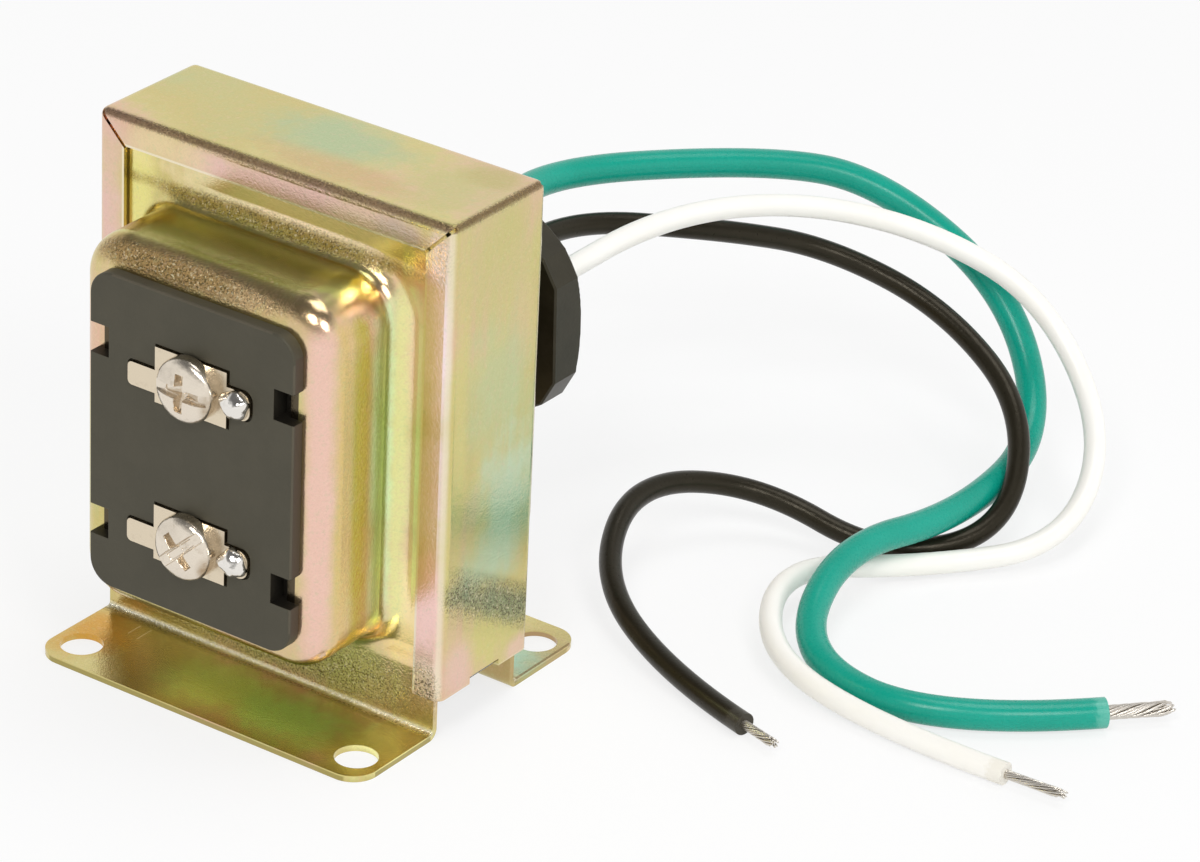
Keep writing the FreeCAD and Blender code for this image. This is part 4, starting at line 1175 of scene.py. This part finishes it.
@dataclass
class KnockoutHub:
    """Threaded nipple through the rear cover and the six-sided nut with cut corners on it."""

    centre_z: float = 33.8
    thread_radius: float = 10.5
    thread_depth: float = 0.85
    pitch: float = 1.81
    flank_slope: float = 2.6
    root_flat: float = 0.25
    run_out: float = 0.5
    bore_radius: float = 7.5
    bore_break: float = 0.4
    flange_radius: float = 12.5
    flange_front: float = 18.4
    flange_back: float = 19.8
    end_y: float = 33.51
    end_break: float = 0.7
    nipple_columns: int = 97
    thread_rows: int = 110
    nipple_crease: float = 40.0
    nut_front: float = 26.31
    nut_back: float = 31.51
    nut_apothem: float = 14.0
    nut_sides: int = 6
    nut_flat: float = 11.9
    nut_turn: float = 1.6
    nut_face_radius: float = 13.9
    nut_chamfer: float = 1.5
    nut_edge: float = 0.22
    nut_bore_break: float = 0.5
    nut_rows: int = 40
    flat_columns: int = 16
    corner_columns: int = 6
    nut_crease: float = 25.0

    def build(self) -> List[bpy.types.Object]:
        """Makes the nipple and the nut in place of the plain ones.

        Returns:
            The two pieces.
        """
        finish = HUB_FINISH.material()
        pieces = [self._nipple(finish), self._nut(finish)]
        for piece, node in zip(pieces, ("hub_nipple", "hub_nut")):
            stand_in(piece, node)
        return pieces

    def _nipple(self, finish: bpy.types.Material) -> bpy.types.Object:
        """Flanged tube with a helix: reach is the root plus a clipped triangle wave of turn and depth.

        Args:
            finish: dark moulded finish.

        Returns:
            The nipple.
        """
        angles = np.linspace(0.0, FULL_TURN, self.nipple_columns)
        thread_end = self.end_y - self.end_break
        along = np.linspace(self.flange_back, thread_end, self.thread_rows)
        turn = (along[:, None] / self.pitch - angles[None, :] / FULL_TURN) % 1.0
        wave = np.clip(np.abs(turn - MIDDLE) * self.flank_slope - self.root_flat, 0.0, 1.0)
        fade = np.clip((thread_end - along) / self.run_out, 0.0, 1.0)[:, None]
        root = self.thread_radius - self.thread_depth
        rim = np.array([(self.flange_front, self.bore_radius), (self.flange_front, self.flange_radius),
                        (self.flange_back, self.flange_radius), (self.flange_back, root)])
        tail = np.array([(self.end_y, root - self.end_break),
                         (self.end_y, self.bore_radius + self.bore_break),
                         (self.end_y - self.bore_break, self.bore_radius),
                         (self.flange_front, self.bore_radius)])
        flat = np.ones_like(angles)
        reach = np.concatenate([np.outer(rim[:, 1], flat), root + self.thread_depth * wave * fade,
                                np.outer(tail[:, 1], flat)])
        depth = np.concatenate([rim[:, 0], along, tail[:, 0]])
        surface = Surface()
        surface.grid(ring_rows(angles, reach, depth, self.centre_z))
        return surface.piece("hub_threaded_nipple", finish, self.nipple_crease)

    def _nut(self, finish: bpy.types.Material) -> bpy.types.Object:
        """Flats and cut corners under a cone: reach is the least of the cone and two distances over cosines.

        Args:
            finish: dark moulded finish.

        Returns:
            The nut.
        """
        sector = FULL_TURN / self.nut_sides
        corner = math.atan2(self.nut_flat / 2.0, self.nut_apothem)
        cut = self.nut_apothem * math.cos(sector / 2.0) + self.nut_flat / 2.0 * math.sin(sector / 2.0)
        steps = np.concatenate([np.linspace(-corner, corner, self.flat_columns, endpoint=False),
                                np.linspace(corner, sector - corner, self.corner_columns, endpoint=False)])
        turned = (np.arange(self.nut_sides)[:, None] * sector + steps).ravel()
        turned = np.append(turned, turned[0] + FULL_TURN)
        flats = np.minimum(self.nut_apothem / np.cos((turned + sector / 2.0) % sector - sector / 2.0),
                           cut / np.cos(turned % sector - sector / 2.0))
        along = np.linspace(self.nut_front + self.nut_edge, self.nut_back, self.nut_rows)
        cone = self.nut_face_radius + (self.nut_back - along) * self.nut_chamfer
        bore = self.thread_radius * np.ones_like(turned)
        reach = np.vstack([bore, flats - self.nut_edge, np.minimum(flats[None, :], cone[:, None]),
                           bore + self.nut_bore_break, bore, bore])
        depth = np.concatenate([[self.nut_front] * 2, along,
                                [self.nut_back, self.nut_back - self.nut_bore_break, self.nut_front]])
        surface = Surface()
        surface.grid(ring_rows(turned + math.radians(self.nut_turn), reach, depth, self.centre_z))
        return surface.piece("hub_lock_nut", finish, self.nut_crease)


@dataclass
class TerminalScrews:
    """Two pan-head screws, each with a wide slot and a cross recess."""

    centre_x: float = 0.25
    face_y: float = -22.46
    turns: Tuple[float, float] = (-2.0, 43.0)
    head_radius: float = 3.8
    head_wall: float = 0.75
    head_rise: float = 1.45
    crown_power: float = 3.0
    crown_round: float = 0.42
    shank_radius: float = 1.75
    shank_length: float = 4.8
    slot_width: float = 1.15
    slot_depth: float = 0.75
    cross_width: float = 0.80
    cross_span: float = 4.3
    cross_depth: float = 1.45
    cross_taper: float = 0.25
    steepness: float = 6.0
    columns: int = 289
    crown_rows: int = 100
    crown_crowding: float = 1.5
    crease: float = 50.0

    def build(self) -> List[bpy.types.Object]:
        """Makes both screws in place of the plain ones.

        Returns:
            The two pieces.
        """
        finish = SCREW_FINISH.material()
        pieces = []
        for terminal, turn in zip(Terminal, self.turns):
            piece = self._screw(terminal, math.radians(turn), finish)
            stand_in(piece, "terminal_screw_" + terminal.label)
            pieces.append(piece)
        return pieces

    def _recess(self, along: np.ndarray, across: np.ndarray) -> np.ndarray:
        """Highest metal left by the slot and the cross: flat or tapered floors between steep walls.

        Args:
            along: distance along the slot from the axis.
            across: distance across the slot from the axis.

        Returns:
            Height above the strap at each place.
        """
        top = self.head_wall + self.head_rise
        along, across = np.abs(along), np.abs(across)
        limit = top - self.slot_depth + self.steepness * np.clip(across - self.slot_width / 2.0, 0.0, None)
        for far, near in ((along, across), (across, along)):
            outside = np.maximum(near - self.cross_width / 2.0, far - self.cross_span / 2.0)
            floor = top - self.cross_depth + self.cross_taper * far
            limit = np.minimum(limit, floor + self.steepness * np.clip(outside, 0.0, None))
        return limit

    def _screw(self, terminal: Terminal, turn: float, finish: bpy.types.Material) -> bpy.types.Object:
        """Shank and head: the crown is wall plus rise by a rounded power of the radius, cut by the recess.

        Args:
            terminal: terminal that it clamps.
            turn: angle of the slot in radians.
            finish: plated finish.

        Returns:
            The new piece.
        """
        angles = np.linspace(0.0, FULL_TURN, self.columns)
        share = 1.0 - np.linspace(0.0, 1.0, self.crown_rows) ** self.crown_crowding
        crown = self.head_wall + self.head_rise * (1.0 - share ** self.crown_power) ** self.crown_round
        reach = np.concatenate([[0.0, self.shank_radius, self.shank_radius, self.head_radius],
                                share * self.head_radius])
        plain = np.concatenate([[-self.shank_length, -self.shank_length, 0.0, 0.0], crown])
        along, across = np.outer(reach, np.cos(angles)), np.outer(reach, np.sin(angles))
        height = np.minimum(plain[:, None], self._recess(along, across))
        x = self.centre_x + along * math.cos(turn) - across * math.sin(turn)
        z = terminal.value + along * math.sin(turn) + across * math.cos(turn)
        surface = Surface()
        surface.grid(np.stack([x, self.face_y - height, z], axis=-1) * MM)
        return surface.piece("screw_" + terminal.label, finish, self.crease)


Waves = Tuple[Tuple[float, float, float], ...]


@dataclass
class SolderJoints:
    """Two uneven drops of solder on the ends of the terminal straps.

    A wave is its height, its count about the drop and its share of the phase.
    """

    centre_x: float = 6.75
    face_y: float = -22.46
    half_width: float = 1.60
    half_height: float = 1.78
    rise: float = 1.55
    fall_power: float = 2.2
    dome_power: float = 0.65
    neck: float = 0.55
    neck_power: int = 4
    phases: Tuple[float, float] = (0.4, 2.3)
    outline_waves: Waves = ((0.06, 3.0, 1.0), (0.04, 5.0, -1.0))
    top_waves: Waves = ((0.10, 2.0, 1.0), (0.06, 4.0, -2.0))
    columns: int = 65
    rows: int = 26

    def build(self) -> List[bpy.types.Object]:
        """Makes both drops in place of the plain ones.

        Returns:
            The two pieces.
        """
        finish = SOLDER_FINISH.material()
        pieces = []
        for terminal, phase in zip(Terminal, self.phases):
            piece = self._drop(terminal, phase, finish)
            stand_in(piece, "solder_joint_" + terminal.label)
            pieces.append(piece)
        return pieces

    @staticmethod
    def _wavy(waves: Waves, angles: np.ndarray, phase: float) -> np.ndarray:
        """Sum of the waves' sines about the drop."""
        return sum(height * np.sin(count * angles + share * phase) for height, count, share in waves)

    def _drop(self, terminal: Terminal, phase: float, finish: bpy.types.Material) -> bpy.types.Object:
        """Cap over an uneven ellipse: rise falls as a power of the way out, with two slow waves on it.

        Args:
            terminal: terminal that it lies on.
            phase: phase of the waves, which makes each drop its own.
            finish: solder finish.

        Returns:
            The new piece.
        """
        angles = np.linspace(0.0, FULL_TURN, self.columns)
        out = np.linspace(1.0, 0.0, self.rows)[:, None]
        uneven = out * (1.0 + self._wavy(self.outline_waves, angles, phase))
        neck = 1.0 + self.neck * np.clip(-np.cos(angles), 0.0, 1.0) ** self.neck_power
        x = self.centre_x + self.half_width * uneven * neck * np.cos(angles)
        z = terminal.value + self.half_height * uneven * np.sin(angles)
        wave = 1.0 + out * self._wavy(self.top_waves, angles, phase)
        rise = self.rise * np.clip(1.0 - out ** self.fall_power, 0.0, 1.0) ** self.dome_power * wave
        cap = np.stack([x, self.face_y - rise, z], axis=-1)
        base = np.broadcast_to((self.centre_x, self.face_y, terminal.value), cap[:1].shape)
        surface = Surface()
        surface.grid(np.concatenate([base, cap]) * MM)
        return surface.piece("solder_drop_" + terminal.label, finish)


@dataclass
class CaseDressing:
    """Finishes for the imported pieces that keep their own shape."""

    plan: Tuple[Tuple[Finish, Tuple[str, ...]], ...] = (
        (BAND_FINISH, ("frame_band",)),
        (FRONT_FINISH, ("front_cover",)),
        (REAR_FINISH, ("rear_cover",)),
        (BOARD_FINISH, ("terminal_board",)),
        (NICKEL_FINISH, ("terminal_plate_upper", "terminal_plate_lower")),
        (BUSHING_FINISH, ("lead_bushing",)),
        (BOBBIN_FINISH, ("bobbin",)),
        (LAMINATION_FINISH, ("core_e_stack", "core_i_stack")),
        (WIRE_FINISH, ("primary_winding", "secondary_winding",
                       "secondary_wire_upper", "secondary_wire_lower")),
        (TAPE_FINISH, ("interlayer_tape", "winding_tape")),
        (BRASS_FINISH, ("black_lead_tag", "white_lead_tag", "ground_strap")),
    )

    def dress(self) -> None:
        """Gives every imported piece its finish."""
        for finish, nodes in self.plan:
            material = finish.material()
            for node in nodes:
                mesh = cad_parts[node].data
                mesh.materials.clear()
                mesh.materials.append(material)
            LOG.info("%s on %s", finish.name, ", ".join(nodes))


@dataclass(frozen=True)
class Lamp:
    """Square soft lamp that faces the object; places and sizes in metres, power in watts."""

    name: str
    spot: Point
    size: float
    power: float
    aim: Point = (0.0, 0.0, 0.03)

    def build(self) -> None:
        """Adds the lamp to the scene, turned from its spot to its aim."""
        data = bpy.data.lights.new(self.name, "AREA")
        data.energy = self.power
        data.size = self.size
        lamp = bpy.data.objects.new(self.name, data)
        lamp.location = self.spot
        lamp.rotation_euler = (Vector(self.aim) - Vector(self.spot)).to_track_quat("-Z", "Y").to_euler()
        bpy.context.scene.collection.objects.link(lamp)


@dataclass
class Studio:
    """Pale floor, soft lamps, a sky that is bright near the horizon, and the camera; lengths in metres."""

    azimuth: float = 34.05
    elevation: float = 27.15
    roll: float = 2.80
    distance: float = 0.6096
    slide: float = 0.03183
    lift: float = -0.00360
    aim: Point = (0.0, 0.0, 0.032)
    focal_pixels: float = 5457.6
    frame_width: int = 1200
    sensor_mm: float = 36.0
    near_clip: float = 0.01
    floor_half: float = 3.0
    floor_z: float = -0.00002
    floor_points: int = 5
    floor_colour: Colour = (0.90, 0.90, 0.90)
    floor_glow: float = 0.75
    white: Colour = (1.0, 1.0, 1.0)
    sky_lean: Point = (0.0, -0.25, 1.0)
    sky_tones: Tuple[Span, ...] = ((0.0, 1.0), (0.42, 1.0), (0.68, 0.34), (0.85, 0.16))
    lamps: Tuple[Lamp, ...] = (
        Lamp("key", (0.22, -0.62, 0.74), 0.26, 2.7),
        Lamp("side", (0.66, -0.36, 0.66), 0.26, 2.3),
        Lamp("overhead", (0.10, 0.20, 0.98), 0.50, 2.6),
    )

    def build(self) -> None:
        """Makes the camera, the floor, the sky and the lamps."""
        self._camera()
        self._floor()
        self._sky()
        for lamp in self.lamps:
            lamp.build()

    def _camera(self) -> None:
        """Camera at the fitted azimuth, elevation, roll and distance, moved in its own plane."""
        turn, rise, tilt = (math.radians(a) for a in (self.azimuth, self.elevation, self.roll))
        back = Vector((math.sin(turn) * math.cos(rise), -math.cos(turn) * math.cos(rise), math.sin(rise)))
        level = Vector((0.0, 0.0, 1.0)).cross(back).normalized()
        upright = back.cross(level)
        right = math.cos(tilt) * level + math.sin(tilt) * upright
        up = math.cos(tilt) * upright - math.sin(tilt) * level
        eye = Vector(self.aim) + right * self.slide + up * self.lift + back * self.distance
        data = bpy.data.cameras.new("photo_camera")
        data.sensor_fit = "HORIZONTAL"
        data.sensor_width = self.sensor_mm
        data.lens = self.focal_pixels / self.frame_width * self.sensor_mm
        data.clip_start = self.near_clip
        camera = bpy.data.objects.new("photo_camera", data)
        camera.matrix_world = Matrix((
            (right.x, up.x, back.x, eye.x), (right.y, up.y, back.y, eye.y), (right.z, up.z, back.z, eye.z),
            (0.0, 0.0, 0.0, 1.0)))
        bpy.context.scene.collection.objects.link(camera)
        bpy.context.scene.camera = camera

    def _floor(self) -> None:
        """Flat pale floor far past the view that shows near white to camera and gloss rays."""
        span = np.linspace(-self.floor_half, self.floor_half, self.floor_points)
        x, y = np.meshgrid(span, span, indexing="ij")
        surface = Surface()
        surface.grid(np.stack([x, y, np.full_like(x, self.floor_z)], axis=-1))
        graph = Graph.of_material("pale_floor")
        path = graph.node("ShaderNodeLightPath", {}, {})
        rays = ("Is Camera Ray", "Is Glossy Ray", "Is Transmission Ray")
        seen = sum(Signal(graph, path.outputs[ray]) for ray in rays)
        matt = graph.node("ShaderNodeBsdfDiffuse", {}, {"Color": self.floor_colour})
        glow = graph.node("ShaderNodeEmission", {}, {"Color": self.white, "Strength": 1.0})
        shaders = {0: seen * self.floor_glow, 1: matt.outputs[0], 2: glow.outputs[0]}
        surface.piece("floor", graph.close("ShaderNodeMixShader", shaders))

    def _sky(self) -> None:
        """White near the horizon and dark overhead, as in a light tent that is open at the top."""
        graph = Graph(bpy.data.worlds.new("tent"), "ShaderNodeOutputWorld")
        way = graph.node("ShaderNodeTexCoord", {}, {}).outputs["Generated"]
        both = {0: way, 1: self.sky_lean}
        height = graph.output("ShaderNodeVectorMath", {"operation": "DOT_PRODUCT"}, both, "Value")
        stops = [(place, (tone,) * 3) for place, tone in self.sky_tones]
        glow = graph.output("ShaderNodeValToRGB", {"stops": stops}, {0: height})
        bpy.context.scene.world = graph.close("ShaderNodeBackground", {"Color": glow})


def main() -> None:
    """Builds the sub-assemblies in order."""
    logging.basicConfig(level=logging.INFO, format="%(message)s")
    bpy.context.scene.view_settings.view_transform = "Standard"
    Studio().build()
    CaseDressing().dress()
    for assembly in (KnockoutHub(), TerminalScrews(), SolderJoints(), *LEADS):
        for piece in assembly.build():
            LOG.info("built %s", piece.name)


if __name__ == "__main__":
    main()
